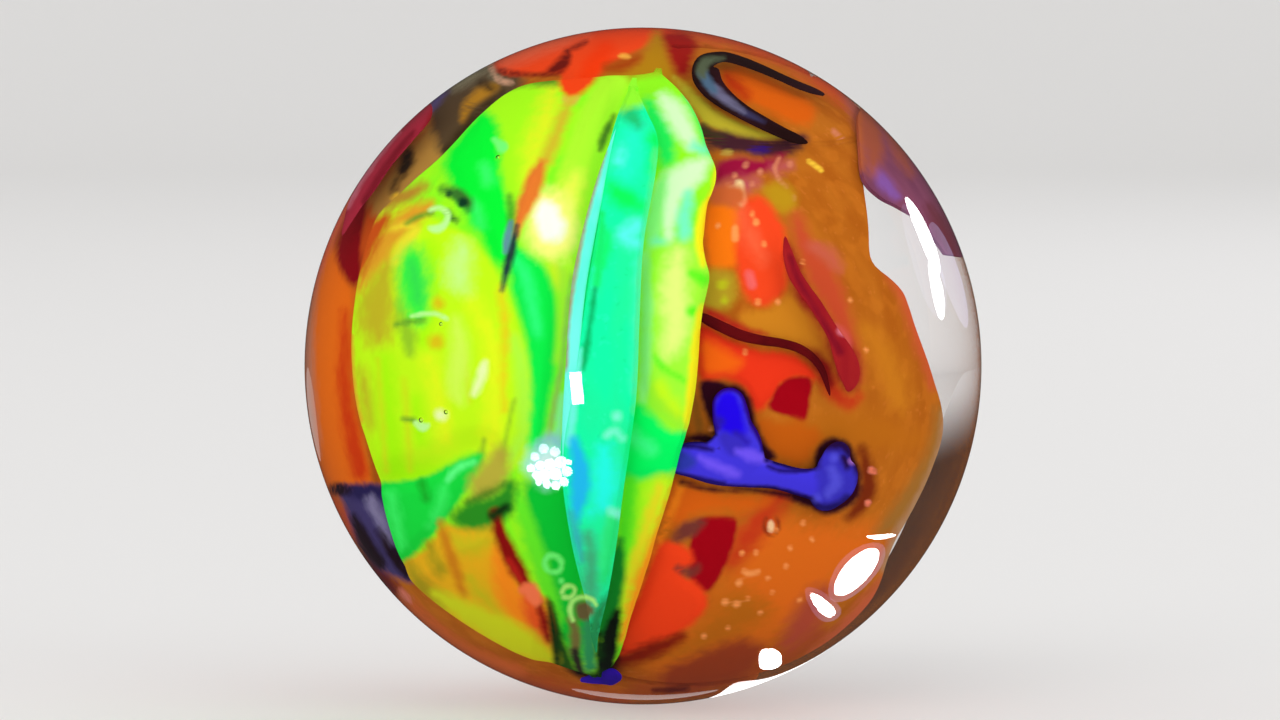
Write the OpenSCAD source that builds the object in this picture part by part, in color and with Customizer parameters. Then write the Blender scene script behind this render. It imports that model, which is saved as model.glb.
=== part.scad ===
// Swirl marble: one ball of clear glass, with sheets, petals and canes of coloured
// glass that run from pole to pole at several depths inside it.
//
// Places on the coloured layers are given as on a globe: a longitude in degrees, 0 at
// the front and rising to the right, and a latitude, 90 at the top pole and -90 at the
// bottom pole. The globe's axis leans a little inside the ball.

/* [Ball] */
// Diameter of the ball
ball_d = 38; // [32:0.5:60]
// Clear glass over the outermost colour
casing_t = 2.6; // [1.5:0.1:4]

/* [Axis of the swirl] */
// How far the axis leans to the right, in degrees
lean_right = 5; // [-15:1:15]
// How far the axis leans to the back, in degrees
lean_back = 6; // [-15:1:15]

/* [Coloured layers, from the outside in] */
// Thickness of the turquoise petal
petal_t = 0.35; // [0.2:0.05:0.6]
// Thickness of the orange and rust streaks
streak_t = 0.3; // [0.2:0.05:0.5]
// Thickness of the yellow petals
yellow_t = 0.3; // [0.2:0.05:0.5]
// Thickness of the green bands
green_t = 0.3; // [0.2:0.05:0.5]
// Thickness of the lime sheet
lime_t = 0.35; // [0.2:0.05:0.6]
// Thickness of the canes: threads, curl and cobalt scroll
cane_t = 0.5; // [0.3:0.05:0.8]
// Thickness of the red, violet and khaki patches
patch_t = 0.3; // [0.2:0.05:0.5]
// Thickness of the amber ground
ground_t = 0.7; // [0.4:0.05:1.2]
// Clear film between one layer and the next
film_t = 0.08; // [0.04:0.01:0.2]

/* [Widths and turns] */
// Width of the maroon thread at its thickest
thread_w = 0.75; // [0.4:0.05:1.2]
// Width of the crimson streaks at their thickest
crimson_w = 1.1; // [0.6:0.05:1.6]
// Width of the dark curl at its bend
curl_w = 2; // [1.2:0.1:2.4]
// Width of the slate core in the curl's bend
curl_core_w = 0.9; // [0.5:0.05:1.1]
// Width of the pale cyan thread beside the turquoise petal
cyan_w = 0.4; // [0.3:0.05:0.5]
// Width of the cobalt scroll's bar
scroll_w = 1.9; // [1.2:0.1:2.4]
// Width of the knob that ends the cobalt scroll
knob_w = 2.7; // [2:0.1:3.2]
// Diameter of the cobalt dot at the bottom pole
dot_d = 2.4; // [1.5:0.1:3.5]
// Longitude of the lime sheet's left edge, at the equator
window_left = -70; // [-80:1:-60]
// Longitude of the lime sheet's right edge, at the equator
window_right = 11; // [5:1:20]
// Longitude of the cobalt scroll's middle
scroll_lon = 25; // [15:1:35]
// Latitude of the cobalt scroll's middle
scroll_lat = -20; // [-25:1:-15]

/* [Bubbles] */
// Diameter of the largest air bubble
bubble_d = 1.3; // [0.6:0.1:1.6]
// Clear glass between a bubble and the colour under it
bubble_gap = 0.15; // [0.05:0.05:0.4]

/* [Hidden] */
$fn = 96;

// Outer radius of each layer
ball_r = ball_d / 2;
petal_r = ball_r - casing_t;
streak_r = petal_r - petal_t - film_t;
yellow_r = streak_r - streak_t - film_t;
green_r = yellow_r - yellow_t - film_t;
lime_r = green_r - green_t - film_t;
cane_r = lime_r - lime_t - film_t;
patch_r = cane_r - cane_t - film_t;
ground_r = patch_r - patch_t - film_t;

// A radial cutter ends well outside the ball, so that its flat outer faces cut nothing
reach = 2 * ball_r;
// Widest stretch of longitude, in degrees, that one flat outer face of a cutter spans
widest_column = 50;
// Widest angle from the middle of a stencil to its edge
stencil_span = 30;
// Facets round a cane, and steps between two of the points that it passes through
cane_sides = 8;
cane_steps = 3;
// Steps between two rows of a sheet's outline
edge_steps = 2;
// Facets round the circles of a flat drawing, and round an air bubble
drawing_facets = 28;
bubble_facets = 24;
// Fillet in the inner corners of the scroll's drawing
scroll_fillet = 0.4;

// ---- Geometry on the globe ----

// Unit vector at a longitude and a latitude
function way(lon, lat) = [cos(lat) * sin(lon), -cos(lat) * cos(lon), sin(lat)];
function unit(v) = v / norm(v);

// A smooth curve through p1 and p2, with its neighbours p0 and p3, at u from 0 to 1
function curve(p0, p1, p2, p3, u) =
    0.5 * (2 * p1 + (p2 - p0) * u + (2 * p0 - 5 * p1 + 4 * p2 - p3) * u * u
        + (3 * p1 - p0 - 3 * p2 + p3) * u * u * u);

// The same curve through a whole list, with some steps between its points
function smooth(list, steps) =
    let (last = len(list) - 1)
    [for (i = [0 : last - 1]) for (k = [0 : steps - 1])
        curve(list[max(i - 1, 0)], list[i], list[i + 1], list[min(i + 2, last)], k / steps),
     list[last]];

// A radial solid between a left and a right edge. A row is [latitude, left, right], and
// the rows run from north to south.
module wedge(rows) {
    all = smooth(rows, edge_steps);
    n = len(all);
    cols = ceil(max([for (row = rows) row[2] - row[1]]) / widest_column);
    across = cols + 1;
    corners = [for (row = all) for (k = [0 : cols])
        reach * way(row[1] + (row[2] - row[1]) * k / cols, row[0])];
    function at(i, k) = 1 + i * across + k;
    outside = [for (i = [0 : n - 2]) for (k = [0 : cols - 1])
        each [[at(i, k), at(i, k + 1), at(i + 1, k + 1)],
              [at(i, k), at(i + 1, k + 1), at(i + 1, k)]]];
    sides = [for (i = [0 : n - 2])
        each [[0, at(i, 0), at(i + 1, 0)],
              [0, at(i + 1, cols), at(i, cols)]]];
    ends = [for (k = [0 : cols - 1])
        each [[0, at(0, k + 1), at(0, k)],
              [0, at(n - 1, k), at(n - 1, k + 1)]]];
    polyhedron(concat([[0, 0, 0]], corners), concat(outside, sides, ends), convexity = 6);
}

// Part of a spherical layer, cut out by wedges
module sheet(r, t, outlines) {
    intersection() {
        layer(r, t);
        union() for (rows = outlines) wedge(rows);
    }
}

// Part of a spherical layer under a flat drawing, which touches it at (lon, lat) with
// X to the east and Y to the north. The walls are radial, and the drawing stays within
// stencil_span degrees of its middle.
module stencil(r, t, lon, lat) {
    low = (r - t) * cos(stencil_span);
    high = r + t;
    intersection() {
        layer(r, t);
        rotate([90 - lat, 0, lon])
            translate([0, 0, low])
                linear_extrude(height = high - low, scale = high / low)
                    scale(low / r) children();
    }
}

// A whole spherical layer. Its own poles lie on X and its seam at the back, clear of
// the swirl's poles.
module layer(r, t) {
    rotate([0, 90, 0]) rotate([0, 0, 90])
        difference() {
            sphere(r);
            sphere(r - t);
        }
}

// A flattened rod that lies in a layer and passes through points of [lon, lat, width]
module cane(stops, r, t) {
    places = smooth([for (s = stops) way(s[0], s[1])], cane_steps);
    widths = smooth([for (s = stops) s[2]], cane_steps);
    n = len(places);
    mid = r - t / 2;
    rings = [for (i = [0 : n - 1])
        let (up = unit(places[i]),
             along = places[min(i + 1, n - 1)] - places[max(i - 1, 0)],
             side = unit(cross(up, along)),
             w = max(widths[i], 0.1) / 2,
             h = min(t / 2, w))
        for (k = [0 : cane_sides - 1])
            let (a = 360 * k / cane_sides)
            mid * up + w * cos(a) * side + h * sin(a) * up];
    walls = [for (i = [0 : n - 2]) for (k = [0 : cane_sides - 1])
        let (k2 = (k + 1) % cane_sides, a = i * cane_sides, b = a + cane_sides)
        each [[a + k, a + k2, b + k2], [a + k, b + k2, b + k]]];
    caps = [[for (k = [cane_sides - 1 : -1 : 0]) k],
            [for (k = [0 : cane_sides - 1]) (n - 1) * cane_sides + k]];
    polyhedron(rings, concat(walls, caps), convexity = 6);
}

// Leans the globe's axis inside the ball
module leaned() rotate([-lean_back, lean_right, 0]) children();

// ---- Outlines, as rows of [latitude, left, right] ----

ground_gap = [
    [60, 106, 124], [53, 82, 150], [44, 68, 170], [33, 57, 180], [22, 56, 186],
    [12, 67, 188], [0, 77, 189], [-10, 81, 188], [-20, 75, 186], [-30, 79, 180],
    [-41, 85, 170], [-51, 94, 152], [-59, 108, 128]
];

lime_rows = [
    [67, -20, 3], [62, -44, 6], [56, -62, 9], [47, window_left + 4, window_right + 1],
    [33, window_left + 2, window_right], [15, window_left, window_right + 1],
    [0, window_left, window_right], [-15, window_left + 1, window_right - 1],
    [-26, window_left + 2, window_right - 4], [-36, -71, 6], [-46, -73, 4],
    [-56, -66, 0], [-66, -56, -6], [-76, -46, -12]
];

turquoise_rows = [
    [57, -13, -10], [50, -14, -4], [43, -14, 2], [34, -15, 1], [20, -15, -2],
    [5, -15, -1], [-12, -15, -1], [-26, -14, -2], [-40, -12, -3], [-52, -11, -5],
    [-62, -11, -9]
];

yellow_outlines = [
    [[26, -57, -52], [20, -63, -43], [12, -66, -32], [3, -67, -25], [-7, -67, -21],
     [-16, -66, -21], [-22, -65, -25], [-27, -60, -40]],
    [[56, -1, 3], [50, 0, 7], [43, 2, 9]],
    [[39, 2, 8], [32, 2, 9], [26, 5, 8]],
    [[22, 2, 8], [12, 0, 9], [0, 0, 9], [-10, 1, 8], [-16, 3, 6]]
];

green_outlines = [
    [[46, -62, -50], [37, -63, -39], [28, -53, -34], [20, -43, -31], [12, -34, -25],
     [3, -27, -20], [-7, -23, -16], [-17, -23, -15], [-27, -25, -12], [-40, -27, -11],
     [-54, -31, -11], [-66, -37, -13], [-76, -44, -20]],
    [[-26, -67, -56], [-33, -69, -47], [-39, -72, -58], [-45, -74, -70]],
    [[-17, 1, 8], [-21, -1, 8], [-25, 0, 6]],
    [[-32, -43, -31], [-35, -44, -31], [-38, -43, -32], [-40, -40, -34]],
    [[-44, -2, 2], [-56, -5, -1], [-68, -12, -6]]
];

orange_outlines = [
    [[-35, -45, -36], [-41, -54, -33], [-48, -64, -32], [-55, -61, -33], [-62, -57, -36],
     [-70, -50, -42]]
];

red_outlines = [
    [[79, -78, -30], [72, -54, -28], [64, -45, -32], [57, -40, -36]],
    [[82, 80, 262], [76, 92, 264], [70, 108, 262], [65, 128, 256]],
    [[37, 17, 23], [30, 14, 29], [23, 14, 29], [16, 18, 29], [9, 23, 28]],
    [[4, 13, 17], [1, 13, 27], [-3, 13, 35], [-7, 15, 34], [-11, 28, 33]],
    [[-31, 17, 24], [-38, 13, 26], [-47, 10, 25], [-56, 8, 26], [-65, 4, 22], [-71, 1, 12]]
];

khaki_outlines = [
    [[58, -96, -70], [50, -96, -67], [42, -93, -67], [35, -86, -69], [30, -78, -71]],
    [[86, -20, 30], [78, -16, 12], [69, -16, 4]],
    [[66, 4, 9], [61, 8, 20], [56, 12, 30], [52, 20, 38], [50, 28, 40]]
];

violet_outlines = [
    [[-25, -95, -77], [-30, -94, -74], [-36, -92, -76], [-42, -89, -79], [-47, -86, -82]],
    [[54, 88, 106], [46, 76, 106], [38, 79, 104], [30, 89, 100]]
];

// The dot lies just off the bottom pole
dot_lon = -40;
dot_lat = -86;

// ---- Canes, as points of [longitude, latitude, width] ----

maroon_stops = [
    [9, 8, thread_w], [19, 5, thread_w], [26, 4, 0.8 * thread_w], [33, 3, 0.7 * thread_w],
    [37, 0, 0.7 * thread_w], [39, -4, 0.3]
];

crimson_canes = [
    [[30, 24, 0.4], [32, 17, crimson_w], [37, 10, 0.8 * crimson_w],
     [41, 5, 0.9 * crimson_w], [46, -2, 0.3]],
    [[27, -2, 0.3], [30, -5, 1.3 * crimson_w], [33, -8, 1.3 * crimson_w], [34, -12, 0.3]],
    [[20, -32, 0.3], [19, -37, 1.5 * crimson_w], [21, -44, 1.3 * crimson_w], [25, -50, 0.3]],
    [[-104, 54, 0.4], [-100, 42, crimson_w], [-97, 30, 1.6 * crimson_w],
     [-91, 19, 2.6 * crimson_w], [-85, 9, 0.6]]
];

// Two more crimson streaks lie over the lime sheet
window_canes = [
    [[-31, 53, 0.3], [-29, 43, crimson_w], [-29, 31, 1.2 * crimson_w],
     [-29, 20, 0.7 * crimson_w], [-30, 10, 0.2]],
    [[-30, -34, 0.2], [-29, -41, 0.5 * crimson_w], [-28, -49, 0.5 * crimson_w],
     [-27, -57, 0.2]]
];

slate_stops = [
    [40, 55, 0.2], [32, 60, 0.7 * curl_core_w], [29, 66, curl_core_w],
    [28, 72, 0.8 * curl_core_w], [34, 77, 0.2]
];

cyan_stops = [
    [-17, 58, 0.2], [-17, 47, cyan_w], [-18, 34, cyan_w], [-18, 15, 0.8 * cyan_w],
    [-18, -5, 0.8 * cyan_w], [-17, -22, 0.7 * cyan_w], [-15, -36, 0.2]
];

curl_stops = [
    [47, 50, 0.2], [35, 57, 0.6 * curl_w], [29, 64, 0.9 * curl_w], [26, 70, curl_w],
    [33, 76, 0.7 * curl_w], [55, 79, 0.4 * curl_w], [76, 77, 0.35 * curl_w],
    [88, 71, 0.3 * curl_w], [90, 63, 0.2]
];

// A dark wisp under the curl
wisp_stops = [
    [13, 50, 0.3], [20, 50, 0.4 * curl_w], [29, 48, 0.5 * curl_w], [36, 47, 0.2]
];

// The scroll, as strokes through points of [x, y, width], in mm
scroll_strokes = [
    [[-6.6, -0.2, 0.6], [-3, -0.25, scroll_w], [-0.7, 0, scroll_w],
     [2.2, -0.5, 0.45 * scroll_w], [4.5, -0.3, 0.45 * scroll_w]],
    [[4.5, -0.3, knob_w], [4.6, 0.9, 0.55 * knob_w]],
    [[-0.6, 0.3, 0.95 * scroll_w], [-1.3, 1.8, 0.67 * scroll_w], [-1.8, 2.8, 0.95 * scroll_w]]
];

// ---- Pieces ----

module amber_ground() {
    color([0.86, 0.45, 0.05])
        leaned()
            difference() {
                layer(ground_r, ground_t);
                wedge(ground_gap);
            }
}

module red_patches() {
    color([0.93, 0.22, 0.03])
        leaned()
            sheet(patch_r, patch_t, red_outlines);
}

module khaki_bands() {
    color([0.55, 0.50, 0.12])
        leaned()
            sheet(patch_r, patch_t, khaki_outlines);
}

module violet_wedges() {
    color([0.45, 0.32, 0.55])
        leaned()
            sheet(patch_r, patch_t, violet_outlines);
}

module crimson_streaks() {
    color([0.62, 0.05, 0.08])
        leaned()
            union() {
                for (stops = crimson_canes) cane(stops, cane_r, cane_t);
                for (stops = window_canes) cane(stops, streak_r, streak_t);
            }
}

module maroon_thread() {
    color([0.25, 0.02, 0.03])
        leaned()
            cane(maroon_stops, cane_r, cane_t);
}

module dark_curl() {
    color([0.08, 0.12, 0.13])
        leaned()
            union() {
                cane(curl_stops, cane_r, cane_t);
                cane(wisp_stops, cane_r, cane_t);
            }
}

module blob(stop)
    translate([stop[0], stop[1]])
        circle(d = stop[2], $fn = drawing_facets);

// The scroll's drawing: a bar that ends in a knob with a lobe, and a stem with a bud
module scroll_drawing()
    offset(r = -scroll_fillet, $fn = drawing_facets)
        offset(r = scroll_fillet, $fn = drawing_facets)
            for (stroke = scroll_strokes) for (i = [0 : len(stroke) - 2])
                hull() {
                    blob(stroke[i]);
                    blob(stroke[i + 1]);
                }

module cobalt_scroll() {
    color([0.18, 0.16, 0.85])
        leaned()
            stencil(cane_r, cane_t, scroll_lon, scroll_lat) scroll_drawing();
}

module slate_core() {
    color([0.35, 0.45, 0.48])
        leaned()
            cane(slate_stops, lime_r, lime_t);
}

module cyan_thread() {
    color([0.55, 0.95, 0.95])
        leaned()
            cane(cyan_stops, petal_r, petal_t);
}

module cobalt_dot() {
    color([0.20, 0.15, 0.80])
        leaned()
            stencil(cane_r, cane_t, dot_lon, dot_lat) circle(d = dot_d, $fn = drawing_facets);
}

module lime_sheet() {
    color([0.72, 0.95, 0.05])
        leaned()
            sheet(lime_r, lime_t, [lime_rows]);
}

module green_bands() {
    color([0.05, 0.80, 0.18])
        leaned()
            sheet(green_r, green_t, green_outlines);
}

module yellow_petals() {
    color([0.90, 0.98, 0.10])
        leaned()
            sheet(yellow_r, yellow_t, yellow_outlines);
}

module orange_streaks() {
    color([0.98, 0.60, 0.08])
        leaned()
            sheet(streak_r, streak_t, orange_outlines);
}

module turquoise_petal() {
    color([0.05, 0.93, 0.68])
        leaned()
            sheet(petal_r, petal_t, [turquoise_rows]);
}

// Air bubbles over the petals, as [longitude, latitude, share of the largest]
bubbles = [
    [-17, -41, 0.85], [-15, -47, 0.5], [-12, -51, 1], [-56, 24, 0.5], [-52, 8, 0.6],
    [-53, -10, 0.6]
];

module air_bubbles() {
    leaned()
        for (b = bubbles)
            translate((petal_r + bubble_gap + b[2] * bubble_d / 2) * way(b[0], b[1]))
                sphere(d = b[2] * bubble_d, $fn = bubble_facets);
}

module clear_glass() {
    color([0.9, 0.95, 0.95, 0.25])
        difference() {
            sphere(ball_r);
            amber_ground();
            red_patches();
            khaki_bands();
            violet_wedges();
            crimson_streaks();
            maroon_thread();
            dark_curl();
            slate_core();
            cobalt_scroll();
            cobalt_dot();
            lime_sheet();
            green_bands();
            yellow_petals();
            orange_streaks();
            turquoise_petal();
            cyan_thread();
            air_bubbles();
        }
}

clear_glass();
amber_ground();
red_patches();
khaki_bands();
violet_wedges();
crimson_streaks();
maroon_thread();
dark_curl();
slate_core();
cobalt_scroll();
cobalt_dot();
lime_sheet();
green_bands();
yellow_petals();
orange_streaks();
turquoise_petal();
cyan_thread();
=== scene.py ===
# %% [markdown]
# # A swirl marble
#
# The marble is one ball of clear glass. Inside it lie thin sheets and canes of coloured
# glass, which a maker gathers in layers and draws from pole to pole. The clear casing
# over them is a lens: it bends every line of sight, and it makes the colours look as
# wide as the ball.
#
# This lesson starts with the camera, because the colours are laid out in its picture.
# Then come the clear ball, the coloured sheets from the inside out, the canes that lie
# on them, and last the floor, the air and the lamps. Every coloured piece takes its depth
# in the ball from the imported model.

# %% Load the model
import math

import bpy
import numpy as np
from mathutils import Matrix


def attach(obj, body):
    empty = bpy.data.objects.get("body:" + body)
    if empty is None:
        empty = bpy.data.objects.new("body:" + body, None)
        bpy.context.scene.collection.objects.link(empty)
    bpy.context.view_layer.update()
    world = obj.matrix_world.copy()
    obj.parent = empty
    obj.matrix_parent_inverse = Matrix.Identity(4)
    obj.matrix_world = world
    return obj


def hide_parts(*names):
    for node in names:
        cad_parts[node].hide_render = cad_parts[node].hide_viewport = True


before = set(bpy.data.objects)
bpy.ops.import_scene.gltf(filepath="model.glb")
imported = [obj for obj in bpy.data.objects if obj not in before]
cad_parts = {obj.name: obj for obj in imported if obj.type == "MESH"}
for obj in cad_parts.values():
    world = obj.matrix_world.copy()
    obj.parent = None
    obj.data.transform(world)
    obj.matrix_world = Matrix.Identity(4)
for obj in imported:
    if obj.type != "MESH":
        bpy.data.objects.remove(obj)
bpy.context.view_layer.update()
bpy.ops.object.select_all(action="DESELECT")
MM = 0.001


def points_of(piece):
    """The places of a piece's points, one row each."""
    places = np.empty(3 * len(piece.data.vertices))
    piece.data.vertices.foreach_get("co", places)
    return places.reshape(-1, 3)


def put_points(piece, places):
    """Moves a piece's points to new places."""
    piece.data.vertices.foreach_set("co", places.ravel())
    piece.data.update()


def node_depths(name):
    """The smallest and the largest distance of a node's points from the ball's centre."""
    depths = np.linalg.norm(points_of(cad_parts[name]), axis=1)
    return float(depths.min()), float(depths.max())


def outer_radius(name):
    """The radius at which a node's layer ends."""
    return node_depths(name)[1]


def middle_radius(name):
    """The radius of the middle of a node's layer."""
    low, high = node_depths(name)
    return (low + high) / 2


BALL_R = outer_radius("clear_glass")
print("ball radius, mm:", round(BALL_R / MM, 2))
print("nodes:", len(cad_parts))

# %% [markdown]
# ## The camera, and how it sees into the ball
#
# A glass artist lays out a swirl on tracing paper held in front of the ball. The same is
# done here: each streak is a list of points in the picture plane, 1280 wide and 720
# high. A ray from the camera through such a point bends where it enters the glass
# (Snell's law), and runs on until it meets the layer that the streak lies in. So the
# camera has to be known before the colours.

# %% The camera and its rays
PICTURE_W = 1280
PICTURE_H = 720
BALL_AT = (643, 366)  # the ball's centre in the picture
BALL_PICTURE_R = 338.5
VIEW_DISTANCE = 0.4
VIEW_TILT = math.radians(3)
VIEW_END = 20
SENSOR_MM = 36
GLASS_IOR = 1.5

FOCAL = BALL_PICTURE_R / math.tan(math.asin(BALL_R / VIEW_DISTANCE))
FORWARD = np.array([0, math.cos(VIEW_TILT), -math.sin(VIEW_TILT)])
UPWARD = np.array([0, math.sin(VIEW_TILT), math.cos(VIEW_TILT)])
RIGHTWARD = np.array([1, 0, 0])
EYE = -VIEW_DISTANCE * FORWARD


def unit(vectors):
    """Vectors of length 1."""
    return vectors / np.linalg.norm(vectors, axis=-1, keepdims=True)


def dots(a, b):
    """The dot product of each pair of rows, as a column."""
    return np.sum(a * b, axis=-1, keepdims=True)


def meet_sphere(start, way, radius):
    """The first points where rays meet a sphere round the ball's centre."""
    b = dots(start, way)
    c = dots(start, start) - radius ** 2
    return start + (-b - np.sqrt(np.maximum(b * b - c, 0))) * way


def at_surface(points):
    """Where rays through picture points meet the ball, and the rays' directions."""
    points = np.asarray(points, float)
    across = (points[:, :1] - BALL_AT[0]) * RIGHTWARD
    down = (points[:, 1:2] - BALL_AT[1]) * UPWARD
    way = unit(FOCAL * FORWARD + across - down)
    return meet_sphere(EYE, way, BALL_R), way


def through(points, radius):
    """Where rays through picture points meet a layer inside the ball."""
    place, way = at_surface(points)
    normal = unit(place)
    cosine = -dots(normal, way)
    ratio = 1 / GLASS_IOR
    bend = ratio * cosine - np.sqrt(1 - ratio ** 2 * (1 - cosine ** 2))
    return meet_sphere(place, unit(ratio * way + bend * normal), radius)


def make_camera():
    """A long lens at the ball's height, a little above its middle."""
    bpy.ops.object.camera_add(location=EYE, rotation=(math.pi / 2 - VIEW_TILT, 0, 0))
    camera = bpy.context.object
    camera.name = "camera"
    camera.data.sensor_width = SENSOR_MM
    camera.data.lens = FOCAL * SENSOR_MM / PICTURE_W
    camera.data.shift_x = (PICTURE_W / 2 - BALL_AT[0]) / PICTURE_W
    camera.data.shift_y = (BALL_AT[1] - PICTURE_H / 2) / PICTURE_W
    camera.data.clip_end = VIEW_END
    bpy.context.scene.camera = camera
    print("lens, mm:", round(camera.data.lens, 1))


make_camera()

# %% [markdown]
# ## Streaks and patches
#
# A streak is a line whose width changes, and a patch is a closed outline. Both are
# smooth curves through a few points on the tracing paper. What the colours need from
# them is one number at each point of a sheet: how deep inside the shape it lies, in
# points of the paper, with minus outside. A material can turn that depth into an edge as
# crisp or as soft as the real one.
#
# To find a sheet's point on the paper, the bent rays are followed once for each layer,
# from the ball's middle to its rim. Past the rim the paper simply goes on, so a shape
# that ends at the rim ends a little behind it.

# %% Shapes on the tracing paper
CURVE_STEPS = 5
FAR_OUTSIDE = -50.0  # a depth that no edge reaches
RIM_STEPS = 500
TINY = 1e-9
PAST_RIM = 0.6  # how fast the paper goes on behind the rim, in ball radii per radian


def curve(points, closed=False):
    """A smooth curve through points (Catmull and Rom's formula)."""
    points = np.asarray(points, float)
    count = len(points)
    if count == 1:
        return points
    spans = count if closed else count - 1
    index = np.arange(-1, spans + 2)
    index = index % count if closed else np.clip(index, 0, count - 1)
    p = points[index]
    out = []
    for i in range(spans):
        a, b, c, d = p[i], p[i + 1], p[i + 2], p[i + 3]
        for u in np.arange(CURVE_STEPS) / CURVE_STEPS:
            out.append(0.5 * (2 * b + (c - a) * u + (2 * a - 5 * b + 4 * c - d) * u ** 2
                              + (3 * b - a - 3 * c + d) * u ** 3))
    if not closed:
        out.append(points[-1])
    return np.array(out)


def on_paper(ways, radius):
    """Where directions from the centre lie on the paper, for a layer or radii of their own."""
    low, high = np.min(radius), np.max(radius)
    if high > low:
        share = np.reshape((radius - low) / (high - low), (-1, 1))
        return on_paper(ways, low) * (1 - share) + on_paper(ways, high) * share
    share = np.sin(np.linspace(0, math.pi / 2, RIM_STEPS))
    spots = np.column_stack([BALL_AT[0] + BALL_PICTURE_R * share, np.full(RIM_STEPS, BALL_AT[1])])
    seen = through(spots, low) / low
    angle = np.arccos(np.clip(-seen @ FORWARD, -1, 1))
    turn = np.arccos(np.clip(-ways @ FORWARD, -1, 1))
    reach = np.interp(turn, angle, share) + np.maximum(turn - angle[-1], 0) * PAST_RIM
    flat = np.column_stack([ways @ RIGHTWARD, -(ways @ UPWARD)])
    flat /= np.maximum(np.linalg.norm(flat, axis=1, keepdims=True), TINY)
    return np.array(BALL_AT) + flat * (reach * BALL_PICTURE_R)[:, None]


def span_depth(spots, a, b, half_a=0.0, half_b=0.0):
    """How deep spots lie inside a tapered line from a to b."""
    span = b - a
    u = np.clip((spots - a) @ span / max(span @ span, TINY), 0, 1)
    away = np.linalg.norm(spots - a - u[:, None] * span, axis=1)
    return half_a + (half_b - half_a) * u - away


class Streak:
    """A line through stops of (x, y, width)."""

    def __init__(self, *stops):
        self.line = curve(stops)

    def depth(self, spots):
        """How deep spots lie inside it, with minus outside."""
        line = np.vstack([self.line, self.line[-1:]])
        best = np.full(len(spots), FAR_OUTSIDE)
        for a, b in zip(line[:-1], line[1:]):
            best = np.maximum(best, span_depth(spots, a[:2], b[:2], a[2] / 2, b[2] / 2))
        return best


class Patch:
    """A closed outline through corners of (x, y)."""

    def __init__(self, *corners):
        self.outline = curve(corners, closed=True)

    def depth(self, spots):
        """How deep spots lie inside it, with minus outside."""
        gap = np.full(len(spots), -FAR_OUTSIDE)
        inside = np.zeros(len(spots), bool)
        for a, b in zip(self.outline, np.roll(self.outline, -1, axis=0)):
            gap = np.minimum(gap, -span_depth(spots, a, b))
            if a[1] != b[1]:
                crosses = (spots[:, 1] > a[1]) != (spots[:, 1] > b[1])
                at = a[0] + (spots[:, 1] - a[1]) * (b[0] - a[0]) / (b[1] - a[1])
                inside ^= crosses & (spots[:, 0] < at)
        return np.where(inside, gap, -gap)


def dabs(width, *spots):
    """Round dabs of one width."""
    return [Streak((x, y, width)) for x, y in spots]


def deepest(shapes, spots):
    """The depth inside whichever shape is nearest."""
    best = np.full(len(spots), FAR_OUTSIDE)
    for shape in shapes:
        drawn = shape.line[:, :2] if isinstance(shape, Streak) else shape.outline
        low, high = drawn.min(axis=0) + FAR_OUTSIDE, drawn.max(axis=0) - FAR_OUTSIDE
        near = np.all((spots > low) & (spots < high), axis=1)
        best[near] = np.maximum(best[near], shape.depth(spots[near]))
    return best


print("the ball's front lies on the paper at:", on_paper(-FORWARD[None, :], BALL_R)[0].round(1))

# %% [markdown]
# ## Materials as expressions
#
# A material is a tree of nodes. Writing the maths of a tree as Python expressions keeps
# it readable: one small class wraps a socket, and its operators add the Math nodes.

# %% A socket with operators, and a tree that adds nodes
# A Mix node's colour sockets share their names with its number sockets, so they go by number
MIX_FACTOR, MIX_FIRST, MIX_SECOND, MIX_RESULT = 0, 6, 7, 2


class Wire:
    """An output socket of a finish."""

    def __init__(self, finish, socket):
        self.finish = finish
        self.socket = socket

    def math(self, operation, *values):
        """A Math node on values and wires."""
        return self.finish.add("Math", {"operation": operation}, dict(enumerate(values)))

    def __add__(self, other):
        return self.math("ADD", self, other)

    def __sub__(self, other):
        return self.math("SUBTRACT", self, other)

    def __rsub__(self, other):
        return self.math("SUBTRACT", other, self)

    def __mul__(self, other):
        return self.math("MULTIPLY", self, other)

    __radd__ = __add__
    __rmul__ = __mul__


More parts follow.
